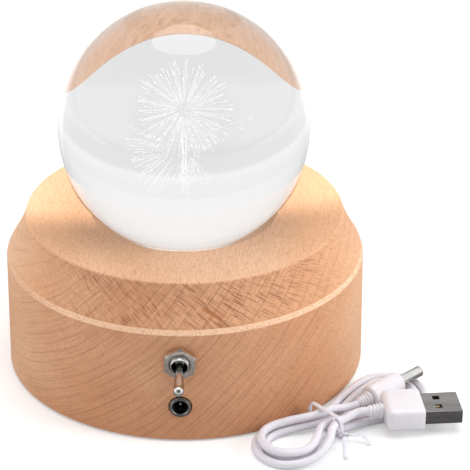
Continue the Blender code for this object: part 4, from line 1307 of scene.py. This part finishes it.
    def add_soft_lamps(self) -> None:
        """Hang the oval soft lamps, which shine at the object."""
        for lamp in self.soft_lamps:
            data = bpy.data.lights.new(lamp.name, "AREA")
            data.shape = "ELLIPSE"
            data.size, data.size_y = lamp.size
            data.energy = lamp.watts
            self.hang(lamp.name, data, lamp.place, self.lamp_aim, lamp.seen)

    def add_rear_light(self) -> None:
        """Hang the far lamp whose straight edge lies across the plateau."""
        data = bpy.data.lights.new("rear_light", "SPOT")
        data.energy = self.rear_watts
        data.spot_size = self.rear_angle
        data.spot_blend = self.rear_blend
        data.shadow_soft_size = self.rear_size
        place = Vector(self.rear_place)
        down = (Vector(self.rear_edge) - place).normalized()
        turned = Matrix.Rotation(self.rear_angle / 2, 3, "X") @ down
        self.hang("rear_light", data, place, place + turned, False)

    def build(self) -> None:
        """Make the whole studio."""
        self.add_camera()
        self.add_world()
        self.add_floor()
        self.add_soft_lamps()
        self.add_rear_light()
        bpy.context.scene.view_settings.view_transform = "Standard"


# Power lead


@dataclass
class PowerLead(Assembly):
    """The white power lead: its hank, its free ends, its tie and its two plugs."""

    cord_radius: float = 0.0013
    loop_pitch: float = 0.00316
    hank_place: tuple[float, float] = (0.0458, -0.0510)
    hank_direction: float = math.radians(42)
    near_bend_radius: float = 0.0076
    near_bend_distance: float = 0.0150
    far_bend_radius: float = 0.0090
    far_bend_distance: float = 0.0290
    far_bend_shift: float = 0.0020
    waist_half_gap: float = 0.0026
    waist_lift: float = 0.0012
    table_clearance: float = 0.0001
    turns: float = 2.5
    points_per_turn: int = 24
    bend_points: int = 6
    relief_length: float = 0.0050
    relief_start: float = 0.0016
    relief_end: float = 0.0022
    relief_ribs: int = 4
    rib_thickness: float = 0.00034
    moulding_start: float = 0.0050
    usb_place: Place = (0.0582, -0.0496, 0.0070)
    usb_yaw: float = math.radians(8)
    usb_pitch: float = math.radians(1.5)
    usb_end: float = 0.0170
    usb_half_width: float = 0.0075
    usb_half_height: float = 0.0035
    usb_round: float = 0.0013
    shell_half_width: float = 0.006
    shell_half_height: float = 0.00225
    shell_sheet: float = 0.0003
    shell_length: float = 0.0120
    window_half_size: float = 0.0011
    seam_half_width: float = 0.00012
    contact_pitch: float = 0.0022
    contact_half_width: float = 0.0005
    dc_place: Place = (0.0554, -0.0397, 0.0037)
    dc_yaw: float = math.radians(42)
    dc_pitch: float = math.radians(-3)
    dc_end: float = 0.0180
    dc_radius: float = 0.0037
    dc_barrel_radius: float = 0.00175
    dc_barrel_bore: float = 0.00142
    usb_lead_middle: Place = (0.0550, -0.0497, 0.0066)
    dc_lead_middle: Place = (0.0515, -0.0431, 0.0043)
    tie_half_width: float = 0.00075
    tie_half_thickness: float = 0.00022
    tie_clearance: float = 0.00045
    tie_step: float = 0.00035

    def loop_point(self, turn: float) -> tuple[float, float]:
        """Return a place on the loop that all strands follow.

        Args:
            turn: A share of one turn, from the waist on the side away from the lamp.

        Returns:
            The place along and across the hank.
        """
        share = turn % 1.0 * self.points_per_turn
        half = self.points_per_turn / 2
        run = (half - self.bend_points) / 2
        mirrored = share > half
        if mirrored:
            share -= half
        radius, distance, way, shift = (
            (self.far_bend_radius, self.far_bend_distance, 1, self.far_bend_shift)
            if mirrored else (self.near_bend_radius, self.near_bend_distance, -1, 0.0))
        if share < run or share > half - run:
            reach = (share if share < run else half - share) / run
            along = distance * reach
            across = self.waist_half_gap + (radius - self.waist_half_gap) * ease(reach)
            if share > half - run:
                across = -across
        else:
            angle = math.pi * (share - run) / self.bend_points
            along = distance + radius * math.sin(angle)
            across = radius * math.cos(angle)
        side = -1 if mirrored else 1
        return way * along, side * across - shift * ease(along / distance)

    def strand(self, turn: float) -> Place:
        """Return the lead's centre after a number of turns.

        Args:
            turn: The turns from the flat plug's end.

        Returns:
            The place along, across and up the hank.
        """
        small = 0.0005
        before = self.loop_point(turn - small)
        here = self.loop_point(turn)
        after = self.loop_point(turn + small)
        way = Vector((after[0] - before[0], after[1] - before[1])).normalized()
        offset = 1.5 - turn
        if turn < 0.25:
            offset = 0.62 + 0.75 * ease(turn / 0.12)
        if turn > 2.0:
            offset = -0.5 + 1.25 * ease((turn - 2.0) / 0.22) - 0.75 * ease((turn - 2.24) / 0.26)
        offset *= self.loop_pitch
        height = self.cord_radius + self.table_clearance
        height += self.loop_pitch * ease((turn - 1.9) / 0.2)
        if turn < 0.25:
            height += self.loop_pitch * (1 - ease((turn - 0.04) / 0.18))
        nearness = max(0.0, 1 - abs(here[0]) / self.near_bend_distance)
        height += self.waist_lift * ease(nearness * 1.4)
        return here[0] + way.y * offset, here[1] - way.x * offset, height

    def world(self, along: float, across: float, height: float) -> Vector:
        """Turn a place in the hank's own frame into the world's."""
        cosine, sine = math.cos(self.hank_direction), math.sin(self.hank_direction)
        return Vector((self.hank_place[0] + along * cosine + across * sine,
                       self.hank_place[1] + along * sine - across * cosine, height))

    @staticmethod
    def plug_matrix(place: Place, yaw: float, pitch: float) -> Matrix:
        """Return the matrix of a plug, which points along its own +X."""
        return Matrix.Translation(place) @ Euler((0, pitch, yaw)).to_matrix().to_4x4()

    def route(self) -> list[Vector]:
        """Lay the whole lead's centre line.

        Returns:
            Its points, from the flat plug to the round one.
        """
        count = round(self.turns * self.points_per_turn)
        hank = [self.world(*self.strand(i / self.points_per_turn)) for i in range(count + 1)]
        step = self.cord_radius * 2
        first, last = [], []
        for run, turn, order in ((first, 0.0, (3, 2, 1)), (last, self.turns, (1, 2, 3))):
            along, across, height = self.strand(turn)
            run += [self.world(along + step * i / 2, across, height) for i in order]
        ends = []
        for place, yaw, pitch in ((self.usb_place, self.usb_yaw, self.usb_pitch),
                                  (self.dc_place, self.dc_yaw, self.dc_pitch)):
            matrix = self.plug_matrix(place, yaw, pitch)
            ends.append([matrix @ Vector((-step * i / 2 + step / 2, 0, 0)) for i in range(3)])
        points = ends[0] + [Vector(self.usb_lead_middle)] + first + hank + last
        points += [Vector(self.dc_lead_middle)] + ends[1][::-1]
        return smooth_route(points, self.cord_radius * 0.9)

    def build(self) -> None:
        """Make the lead, its plugs and its tie."""
        usb = self.build_usb_plug()
        dc = self.build_dc_plug()
        tie = self.build_tie()
        route = self.route()
        curve = bpy.data.curves.new("power_cord", "CURVE")
        curve.dimensions = "3D"
        curve.bevel_depth = self.cord_radius
        curve.bevel_resolution = 5
        curve.use_fill_caps = True
        spline = curve.splines.new("POLY")
        spline.points.add(len(route) - 1)
        for point, place in zip(spline.points, route):
            point.co = (*place, 1.0)
        cord = self.bench.add("power_cord", curve, "white_cord",
                              replaces=("cord_hank", "usb_lead", "dc_lead"))

    def relief(self, name: str) -> list[Mesh]:
        """Make a ribbed strain relief along +X.

        Args:
            name: The meshes' name.

        Returns:
            The tapered core and its ribs.
        """
        length, start, end = self.relief_length, self.relief_start, self.relief_end
        buried, chamfer = length + 0.0005, 0.0001
        outline = [(0.0, 0.0), (start - chamfer, 0.0), (start, chamfer), (end, buried),
                   (0.0, buried)]
        core = self.bench.turned(name, outline, 48, "white_moulding")
        ribs = self.bench.ribs(name, length * 0.16, {
            "Count": self.relief_ribs, "Pitch": length / (self.relief_ribs + 0.6),
            "First Radius": start, "Last Radius": end, "Thickness": self.rib_thickness},
            "white_moulding")
        lay = Matrix.Rotation(QUARTER_TURN, 4, "Y")
        return [placed(core, lay), placed(ribs, lay)]

    def usb_shell(self) -> Mesh:
        """Make the flat plug's folded shell.

        Returns:
            Its mesh, with its windows and its seam.
        """
        wide, tall, sheet = self.shell_half_width, self.shell_half_height, self.shell_sheet
        end = self.usb_end
        back, front = end - 0.0016, end + self.shell_length
        rings = [rounded_ring(back, wide, tall, 0.0005),
                 rounded_ring(front - 0.0002, wide, tall, 0.0005),
                 rounded_ring(front, wide - 0.00008, tall - 0.00008, 0.00045),
                 rounded_ring(front, wide - 0.0002, tall - 0.0002, 0.0003),
                 rounded_ring(back, wide - sheet, tall - sheet, 0.0003)]
        half, through = self.window_half_size, 0.004
        holes = [box((end + 0.0039, middle - half, -through),
                     (end + 0.0061, middle + half, through))
                 for middle in (-0.0026, 0.0026)]
        holes.append(box((end + 0.0008, -self.seam_half_width, -through),
                         (front + 0.001, self.seam_half_width, -0.0021)))
        return cut(lofted("usb_plug_shell", rings, hollow=True), joined("holes", holes))

    def build_usb_plug(self) -> list[bpy.types.Object]:
        """Make the flat plug.

        Returns:
            Its pieces.
        """
        matrix = self.plug_matrix(self.usb_place, self.usb_yaw, self.usb_pitch)
        start, end = self.moulding_start, self.usb_end
        rings = [rounded_ring(start + (end - start) * share, self.usb_half_width - inset,
                              self.usb_half_height - inset * 0.7, self.usb_round)
                 for share, inset in ((0.0, 0.0016), (0.02, 0.0010), (0.06, 0.00045),
                                      (0.12, 0.00012), (0.2, 0.0), (0.86, 0.0),
                                      (0.97, 0.00003), (1.0, 0.00022))]
        rings.append(rounded_ring(end, 0.00635, 0.0026, 0.0005))
        rings.append(rounded_ring(end - 0.0018, 0.0063, 0.0025, 0.0004))
        body = joined("usb_moulding", [lofted("usb_moulding", rings)] + self.relief("usb_relief"))
        front = end + self.shell_length
        contacts = [bevelled(box((front - 0.0080, middle - self.contact_half_width, -0.00005),
                                 (front - 0.0016, middle + self.contact_half_width, 0.00015)),
                             0.00004)
                    for middle in (self.contact_pitch * i for i in (-1.5, -0.5, 0.5, 1.5))]
        add = self.bench.add
        return [
            add("usb_moulding", placed(body, matrix), "white_moulding", replaces=("usb_body",),
                sharp=38),
            add("usb_plug_shell", placed(self.usb_shell(), matrix), "plug_steel",
                replaces=("usb_shell",)),
            add("usb_plug_contacts", placed(joined("usb_plug_contacts", contacts), matrix),
                "brass", replaces=tuple(f"usb_contact_{i}" for i in range(1, 5))),
            frame["nodes"]["usb_tongue"]]

    def build_dc_plug(self) -> list[bpy.types.Object]:
        """Make the round plug.

        Returns:
            Its pieces.
        """
        matrix = self.plug_matrix(self.dc_place, self.dc_yaw, self.dc_pitch)
        start, end, radius = self.moulding_start, self.dc_end, self.dc_radius
        back_round, front_round, waist = 0.0011, 0.0004, start + 0.0090
        outline = [(0.0, start)]
        outline += arc((radius - back_round, start + back_round), back_round, -QUARTER_TURN,
                       0.0, 6)
        outline += [(radius - front_round * ease(i / 6), waist + 0.0030 * i / 6)
                    for i in range(7)]
        outline += arc((radius - front_round * 2, end - front_round), front_round, 0.0,
                       QUARTER_TURN, 4)
        seat_radius, seat = 0.00205, end - 0.0012
        outline += [(seat_radius, end), (seat_radius, seat), (0.0, seat)]
        lay = Matrix.Rotation(QUARTER_TURN, 4, "Y")
        moulding = placed(self.bench.turned("dc_moulding", outline, 64, "white_moulding"), lay)
        body = joined("dc_moulding", [moulding] + self.relief("dc_relief"))
        outer, bore = self.dc_barrel_radius, self.dc_barrel_bore
        back, tip = end - 0.0010, end + 0.0095
        outline = [(bore, back), (outer, back), (outer, tip - 0.00025), (outer - 0.00015, tip),
                   (bore, tip)]
        barrel = self.bench.turned("dc_plug_barrel", outline, 48, "chrome", True)
        add = self.bench.add
        return [
            add("dc_moulding", placed(body, matrix), "white_moulding", replaces=("dc_body",),
                sharp=38),
            add("dc_plug_barrel", placed(barrel, matrix @ lay), "chrome",
                replaces=("dc_barrel",)),
            frame["nodes"]["dc_insulator"], frame["nodes"]["dc_contact"]]

    def tie_route(self) -> list[Vector]:
        """Lay the tie's centre line.

        Returns:
            Its points: a tail, the ring round the waist and the other tail.
        """
        wire = self.tie_clearance * 2
        reach = self.cord_radius + self.tie_clearance + 0.00035
        plug_side = self.strand(0.0)[1] + reach
        lamp_side = self.strand(0.5)[1] - reach
        top = self.cord_radius + self.table_clearance + self.loop_pitch + self.waist_lift + reach
        low = self.tie_clearance + self.table_clearance
        corner = self.cord_radius
        knot = (self.cord_radius + self.loop_pitch) * 0.62

        def twist(first_turn: float, start: float, end: float) -> list[Place]:
            """Lay one tail's way round the other.

            Args:
                first_turn: Where it starts, in half turns.
                start: How far from the waist it starts, in wires.
                end: How far from the waist it ends, in wires.

            Returns:
                Its places in the hank's own frame.
            """
            steps = 6
            ring = []
            for i in range(steps + 1):
                turn = math.pi * (first_turn + 1.5 * i / steps)
                ring.append((math.cos(turn) * -wire * 0.55,
                             plug_side + wire * (start + (end - start) * i / steps),
                             knot + math.sin(turn) * wire * 0.55))
            return ring

        path = [(-wire * 7.6, plug_side + wire * 10.4, low),
                (-wire * 6.6, plug_side + wire * 8.4, low),
                (-wire * 4.6, plug_side + wire * 6, low + wire * 0.7),
                (-wire * 2.2, plug_side + wire * 3.6, knot * 0.85)]
        path += twist(0.0, 2.6, 0.7)
        path += [(-wire * 0.5, plug_side, top - corner * 1.3),
                 (-wire * 0.5, plug_side - corner * 0.45, top - corner * 0.35),
                 (-wire * 0.5, plug_side - corner * 1.3, top),
                 (-wire * 0.4, (plug_side + lamp_side) / 2, top),
                 (-wire * 0.3, lamp_side + corner * 1.3, top),
                 (-wire * 0.3, lamp_side + corner * 0.45, top - corner * 0.35),
                 (-wire * 0.2, lamp_side, top - corner * 1.3),
                 (0.0, lamp_side, low + corner), (0.0, lamp_side + corner, low),
                 (wire * 0.4, plug_side - corner, low),
                 (wire * 0.5, plug_side, low + corner * 0.5)]
        path += twist(1.0, 0.7, 2.6)
        path += [(wire * 2.0, plug_side + wire * 4.2, knot),
                 (wire * 4.4, plug_side + wire * 5.0, low + wire * 2.2),
                 (wire * 5.4, plug_side + wire * 7.0, low + wire * 0.8),
                 (wire * 4.6, plug_side + wire * 9.0, low)]
        return smooth_route([self.world(*point) for point in path], self.tie_step)

    def build_tie(self) -> bpy.types.Object:
        """Make the twist tie: a thin strip with a wire along its middle.

        Returns:
            The piece.
        """
        route = self.tie_route()
        wide = self.world(1, 0, 0) - self.world(0, 0, 0)
        edge, ridge, core = 0.35, 0.42, 0.26
        section = [(-1.0, -edge), (-ridge, -edge), (-core, -1.0), (core, -1.0), (ridge, -edge),
                   (1.0, -edge)]
        section += [(-across, -up) for across, up in section]
        rings = []
        side = wide.normalized()
        for i, place in enumerate(route):
            ahead = (route[min(i + 1, len(route) - 1)] - route[max(i - 1, 0)]).normalized()
            side = side * 0.8 + wide * 0.2
            side = (side - ahead * side.dot(ahead)).normalized()
            up = ahead.cross(side)
            rings.append([place + side * (a * self.tie_half_width)
                          + up * (b * self.tie_half_thickness) for a, b in section])
        return self.bench.add("tie_strip", lofted("tie_strip", rings), "white_cord",
                              replaces=("twist_tie",), sharp=50)


# Turned base


@dataclass
class TurnedBase(Assembly):
    """The stepped beech base, turned in one piece, with its bores and pocket."""

    base_radius: float = 0.0575
    foot_height: float = 0.0006
    ledge_height: float = 0.0378035
    ledge_width: float = 0.0007
    ledge_rise: float = 0.0017
    flank_hollow: float = 0.0005
    flank_steps: int = 16
    step_radius: float = 0.0511
    plateau_height: float = 0.0526035
    foot_chamfer: float = 0.0006
    edge_round: float = 0.0001
    step_round: float = 0.0010
    dish_radius: float = 0.0306
    dish_round: float = 0.00045
    dish_foot: tuple[float, float] = (0.0280, 0.0507)
    well_radius: float = 0.0215
    well_floor: float = 0.0380035
    light_hole_radius: float = 0.0180
    boss_radius: float = 0.0240
    boss_height: float = 0.0340035
    cavity_radius: float = 0.0430
    cavity_height: float = 0.0420
    rebate_radius: float = 0.0500
    rebate_height: float = 0.0051
    seat_top: tuple[float, float] = (0.0240, 0.04914)
    seat_foot: tuple[float, float] = (0.0215, 0.04745)
    switch_height: float = 0.0289035
    switch_hole: float = 0.0033
    socket_height: float = 0.0127035
    socket_hole: float = 0.0037
    pocket_face: float = -0.0530
    pocket_half_width: float = 0.0095
    pocket_depth: float = 0.016
    pocket_height: float = 0.0358035
    flats: int = 256

    def outline(self) -> Outline:
        """Lay the outline of the turned wood.

        Returns:
            Its points, a closed ring.
        """
        points = [(self.rebate_radius, self.foot_height)]
        points += arc((self.base_radius - self.foot_chamfer, self.foot_height
                       + self.foot_chamfer), self.foot_chamfer, -QUARTER_TURN, 0.0, 4)
        foot = (self.base_radius - self.ledge_width, self.ledge_height + self.ledge_rise)
        top = (self.step_radius, self.plateau_height - self.step_round)
        points += [(self.base_radius, self.ledge_height - self.edge_round),
                   (self.base_radius - self.edge_round / 3, self.ledge_height + self.edge_round)]
        for i in range(self.flank_steps):
            share = i / self.flank_steps
            hollow = 4 * self.flank_hollow * share * (1 - share)
            points.append((foot[0] + (top[0] - foot[0]) * share - hollow,
                           foot[1] + (top[1] - foot[1]) * share))
        points += arc((self.step_radius - self.step_round,
                       self.plateau_height - self.step_round), self.step_round, 0.0,
                      QUARTER_TURN, 8)
        points += arc((self.dish_radius - self.dish_round, self.plateau_height - self.dish_round),
                      self.dish_round, QUARTER_TURN, math.pi * 0.78, 4)
        points += [self.dish_foot, self.seat_top, self.seat_foot,
                   (self.well_radius, self.well_floor),
                   (self.light_hole_radius, self.well_floor),
                   (self.light_hole_radius, self.boss_height),
                   (self.boss_radius, self.boss_height), (self.boss_radius, self.cavity_height),
                   (self.cavity_radius, self.cavity_height),
                   (self.cavity_radius, self.rebate_height),
                   (self.rebate_radius, self.rebate_height)]
        return points

    def build(self) -> None:
        """Make the base."""
        wood = self.bench.turned("turned_base", self.outline(), self.flats, "beech", True)
        half, face = self.pocket_half_width, self.pocket_face
        tools = [box((-half, face, self.rebate_height - 0.0005),
                     (half, face + self.pocket_depth, self.pocket_height))]
        drill_depth, drill_start = 0.008, 0.002
        for height, radius in ((self.switch_height, self.switch_hole),
                               (self.socket_height, self.socket_hole)):
            drill = self.bench.turned("drill", [(0, 0), (radius, 0), (radius, drill_depth),
                                                (0, drill_depth)], 64, "beech")
            tools.append(placed(drill, facing_out((0, face + drill_start, height))))
        for tool in tools:
            wood = cut(wood, tool)
        self.bench.add("turned_base", wood, "beech", replaces=("wooden_base",), sharp=28)


# Glass ball and its engraving


@dataclass(frozen=True)
class FlowerHead:
    """Spokes spread over a ball or over a cone of it, from the ball's own middle."""

    hub: Place
    count: int
    inner: float
    outer: float
    axis: Place
    spread: float

    def spokes(self, middle: Vector, dice: random.Random) -> list[tuple[Vector, Vector]]:
        """Return the spokes.

        Args:
            middle: The middle of the ball.
            dice: The seeded dice.

        Returns:
            The start and the whole way of each spoke.
        """
        hub = middle + Vector(self.hub)
        turn = Vector(self.axis).normalized().to_track_quat("Z", "Y")
        spokes = []
        golden = math.pi * (3 - math.sqrt(5))
        for i in range(self.count):
            level = 1 - (1 - math.cos(self.spread)) * (i + 0.5) / self.count
            ring = math.sqrt(max(0.0, 1 - level * level))
            angle = golden * i + dice.uniform(-0.12, 0.12)
            way = turn @ Vector((ring * math.cos(angle), ring * math.sin(angle), level))
            first = self.inner * dice.uniform(0.8, 1.5)
            last = self.outer * dice.uniform(0.86, 1.04)
            spokes.append((hub + way * first, way * (last - first)))
        return spokes


@dataclass
class GlassBall(Assembly):
    """The clear ball and the flower heads engraved inside it."""

    radius: float = 0.0400
    centre: Place = (0.0, 0.0, 0.0815035)
    flats: int = 224
    seed: int = 7
    heads: tuple[FlowerHead, ...] = (
        FlowerHead((0, 0, 0.0040), 170, 0.0022, 0.0092, (0, 0, 1), math.pi),
        FlowerHead((-0.0008, -0.0010, -0.0046), 40, 0.0036, 0.0100, (-0.93, -0.25, -0.28), 0.85),
        FlowerHead((0.0006, -0.0010, -0.0052), 30, 0.0020, 0.0064, (0.1, 0, -1), 0.62))
    twig_start: Place = (0.0004, -0.0012, -0.0020)
    twig_way: Place = (0.0124, -0.0010, 0.0044)
    barbs: int = 16
    barb_length: float = 0.0036
    stalks: int = 14
    stalk_spread: float = 0.0006
    stem_radius: float = 0.00003
    club_radius: float = 0.00013
    club_share: float = 0.22

    def engraving(self) -> Mesh:
        """Lay out the engraving's spokes.

        Returns:
            Points at their starts, with their ways as an attribute.
        """
        dice = random.Random(self.seed)
        middle = Vector(self.centre)
        spokes = [spoke for head in self.heads for spoke in head.spokes(middle, dice)]
        twig_start, twig = middle + Vector(self.twig_start), Vector(self.twig_way)
        spokes.append((twig_start, twig))
        for i in range(self.barbs):
            share = (i + 1) / (self.barbs + 1)
            side = Vector((0.6, dice.uniform(-0.5, 0.2), -1)).normalized()
            spokes.append((twig_start + twig * share, side * self.barb_length
                           * (1 - share * 0.6)))
        for _ in range(self.stalks):
            side = Vector((dice.uniform(-self.stalk_spread, self.stalk_spread),
                           dice.uniform(-self.stalk_spread, self.stalk_spread), 0))
            length = dice.uniform(0.004, 0.010)
            height = dice.uniform(-0.0080, 0.0015)
            spokes.append((middle + side + Vector((0, 0, height + length / 2)),
                           Vector((0, 0, -length))))
        mesh = bpy.data.meshes.new("spokes")
        mesh.from_pydata([tuple(place) for place, _ in spokes], [], [])
        ways = mesh.attributes.new("way", "FLOAT_VECTOR", "POINT")
        ways.data.foreach_set("vector", [value for _, way in spokes for value in way])
        return mesh

    def build(self) -> None:
        """Make the ball and the engraving."""
        forms, finishes = self.bench.forms, self.bench.finishes
        ball = forms.ball.run("glass_ball", {"Radius": self.radius, "Flats": self.flats,
                                             "Finish": finishes["clear_glass"]})
        self.bench.add("glass_ball", placed(ball, Matrix.Translation(self.centre)),
                       "clear_glass", Body.BALL, ("crystal_ball",), sharp=60)
        figure = forms.burst.run("engraving", {
            "Stem Radius": self.stem_radius, "Club Radius": self.club_radius,
            "Club Share": self.club_share, "Finish": finishes["engraving"]}, self.engraving())
        self.bench.add("engraving", figure, "clear_glass", Body.BALL, finish="engraving")


# Toggle switch and power socket


@dataclass
class ToggleSwitch(Assembly):
    """The chrome bushing, its nut and the lever."""

    pivot: Place = (0.0, -0.0570, 0.0289035)
    throw: float = math.radians(22)
    bushing_radius: float = 0.0030
    bore_radius: float = 0.00245
    mouth: float = 0.0043
    inner_end: float = -0.0047
    nut_back: float = 0.0008
    nut_front: float = 0.0030
    nut_width: float = 0.0096
    nut_turn: float = math.radians(-5)
    nut_slope: float = math.radians(20)
    nut_clearance: float = 0.00012
    nut_funnel: float = 0.00035
    nut_bevel: float = 0.00016
    thread_pitch: float = 0.00050
    thread_depth: float = 0.00022
    lever_ball: float = 0.00212
    lever_neck: float = 0.00100
    lever_tail: float = 0.0009
    tail_end: float = -0.0036
    tip_radius: float = 0.00165
    tip_distance: float = 0.0142

    def build_nut(self) -> None:
        """Make the hexagon nut with its turned corners."""
        corner = self.nut_width / math.sqrt(3)
        start = self.nut_turn + QUARTER_TURN
        ring = arc((0, 0), corner, start, start + math.pi * 5 / 3, 5)
        back, front = self.nut_back, self.nut_front
        prism = lofted("nut", [[Vector((x, y, height)) for x, y in ring]
                               for height in (back, front)])
        flat = self.nut_width / 2 - 0.00015
        slope = (corner - flat) * math.tan(self.nut_slope)
        past, above = corner + 0.0001, front + 0.0001
        outline = [(0, back), (flat, back), (past, back + slope), (past, front - slope),
                   (flat, front), (0, front)]
        prism = cut(prism, self.bench.turned("turning", outline, 96, "chrome"), "INTERSECT")
        bore = self.bushing_radius + self.nut_clearance
        outline = [(0, back - 0.001), (bore, back - 0.001), (bore, front - self.nut_funnel),
                   (bore + self.nut_funnel, above), (0, above)]
        prism = bevelled(cut(prism, self.bench.turned("bore", outline, 64, "chrome")),
                         self.nut_bevel)
        self.bench.add("hexagon_nut", placed(prism, facing_out(self.pivot)), "chrome",
                       replaces=("switch_nut",), sharp=20, finish="nickel")

    def build_bushing(self) -> None:
        """Make the threaded bushing."""
        root, bore, mouth = self.bushing_radius - self.thread_depth, self.bore_radius, self.mouth
        lip = 0.00015
        outline = [(bore, self.inner_end), (root, self.inner_end), (root, mouth - lip * 2),
                   (root - 0.0002, mouth), (bore + lip, mouth), (bore, mouth - lip)]
        tube = self.bench.turned("tube", outline, 64, "chrome", True)
        count = int((mouth - self.inner_end) / self.thread_pitch) - 1
        thread = self.bench.ribs("thread", self.inner_end + self.thread_pitch * 0.7, {
            "Count": count, "Pitch": self.thread_pitch, "First Radius": root,
            "Last Radius": root, "Thickness": self.thread_depth}, "chrome")
        mesh = joined("threaded_bushing", [tube, thread])
        self.bench.add("threaded_bushing", placed(mesh, facing_out(self.pivot)), "chrome",
                       replaces=("switch_bushing",), sharp=40)

    def build_lever(self) -> None:
        """Make the lever: ball, slim neck and round-ended grip."""
        ball, neck, tail = self.lever_ball, self.lever_neck, self.lever_tail
        chamfer = 0.00015
        outline = [(0.0, self.tail_end), (tail - chamfer, self.tail_end),
                   (tail, self.tail_end + chamfer)]
        outline += arc((0, 0), ball, -math.acos(tail / ball), QUARTER_TURN
                       - math.asin(neck / ball), 16)
        outline += [(neck + 0.00003, 0.0026), (0.00116, 0.0043), (0.00125, 0.0060),
                    (0.00140, 0.0090), (0.00154, 0.0120)]
        outline += arc((0, self.tip_distance), self.tip_radius, -0.42, QUARTER_TURN, 14)[:-1]
        outline += [(0.0, self.tip_distance + self.tip_radius)]
        lever = self.bench.turned("lever", outline, 64, "chrome")
        turn = Matrix.Rotation(QUARTER_TURN + self.throw / 2, 4, "X")
        self.bench.add("lever", placed(lever, Matrix.Translation(self.pivot) @ turn), "chrome",
                       Body.TOGGLE, ("toggle_lever",), sharp=40)

    def build(self) -> None:
        """Make the three pieces."""
        self.build_nut()
        self.build_bushing()
        self.build_lever()


@dataclass
class PowerSocket(Assembly):
    """The round socket's metal sleeve and its pin."""

    face: Place = (0.0, -0.0575, 0.0127035)
    back: float = -0.0090
    mouth: float = 0.0008
    radius: float = 0.0034
    inner_radius: float = 0.00295
    lip_radius: float = 0.00235
    lip_depth: float = 0.0015
    edge_round: float = 0.00045
    pin_radius: float = 0.00065
    pin_tail: float = -0.0135
    pin_tip: float = -0.0015

    def build(self) -> None:
        """Make the pieces."""
        out = facing_out(self.face)
        radius, mouth, lip = self.radius, self.mouth, self.lip_radius
        start = mouth - 0.00055
        outline = [(self.inner_radius, self.back), (radius, self.back), (radius, start)]
        outline += arc((radius - self.edge_round, start), self.edge_round, 0.0,
                       QUARTER_TURN * 0.6, 4)
        outline += [(0.00262, mouth - 0.00002), (0.00250, mouth - 0.00012),
                    (lip, mouth - 0.00030), (lip, mouth - self.lip_depth),
                    (self.inner_radius, mouth - self.lip_depth)]
        sleeve = self.bench.turned("socket_sleeve", outline, 96, "zinc_steel", True)
        self.bench.add("socket_sleeve", placed(sleeve, out), "zinc_steel",
                       replaces=("socket_barrel",), sharp=30, finish="dark_steel")
        radius, tip = self.pin_radius, self.pin_tip
        outline = [(0.0, self.pin_tail), (radius, self.pin_tail), (radius, tip - radius)]
        outline += arc((0, tip - radius), radius, 0.05, QUARTER_TURN, 8)[:-1]
        outline += [(0.0, tip)]
        pin = self.bench.turned("contact_pin", outline, 32, "brass")
        self.bench.add("contact_pin", placed(pin, out), "brass", replaces=("socket_pin",),
                       finish="silvered_brass")


def main() -> None:
    """Build the scene."""
    Studio().build()
    bench = Bench()
    bench.dress_frame()
    for assembly in (PowerLead, TurnedBase, ToggleSwitch, PowerSocket, GlassBall):
        assembly(bench).build()


if __name__ == "__main__":
    main()
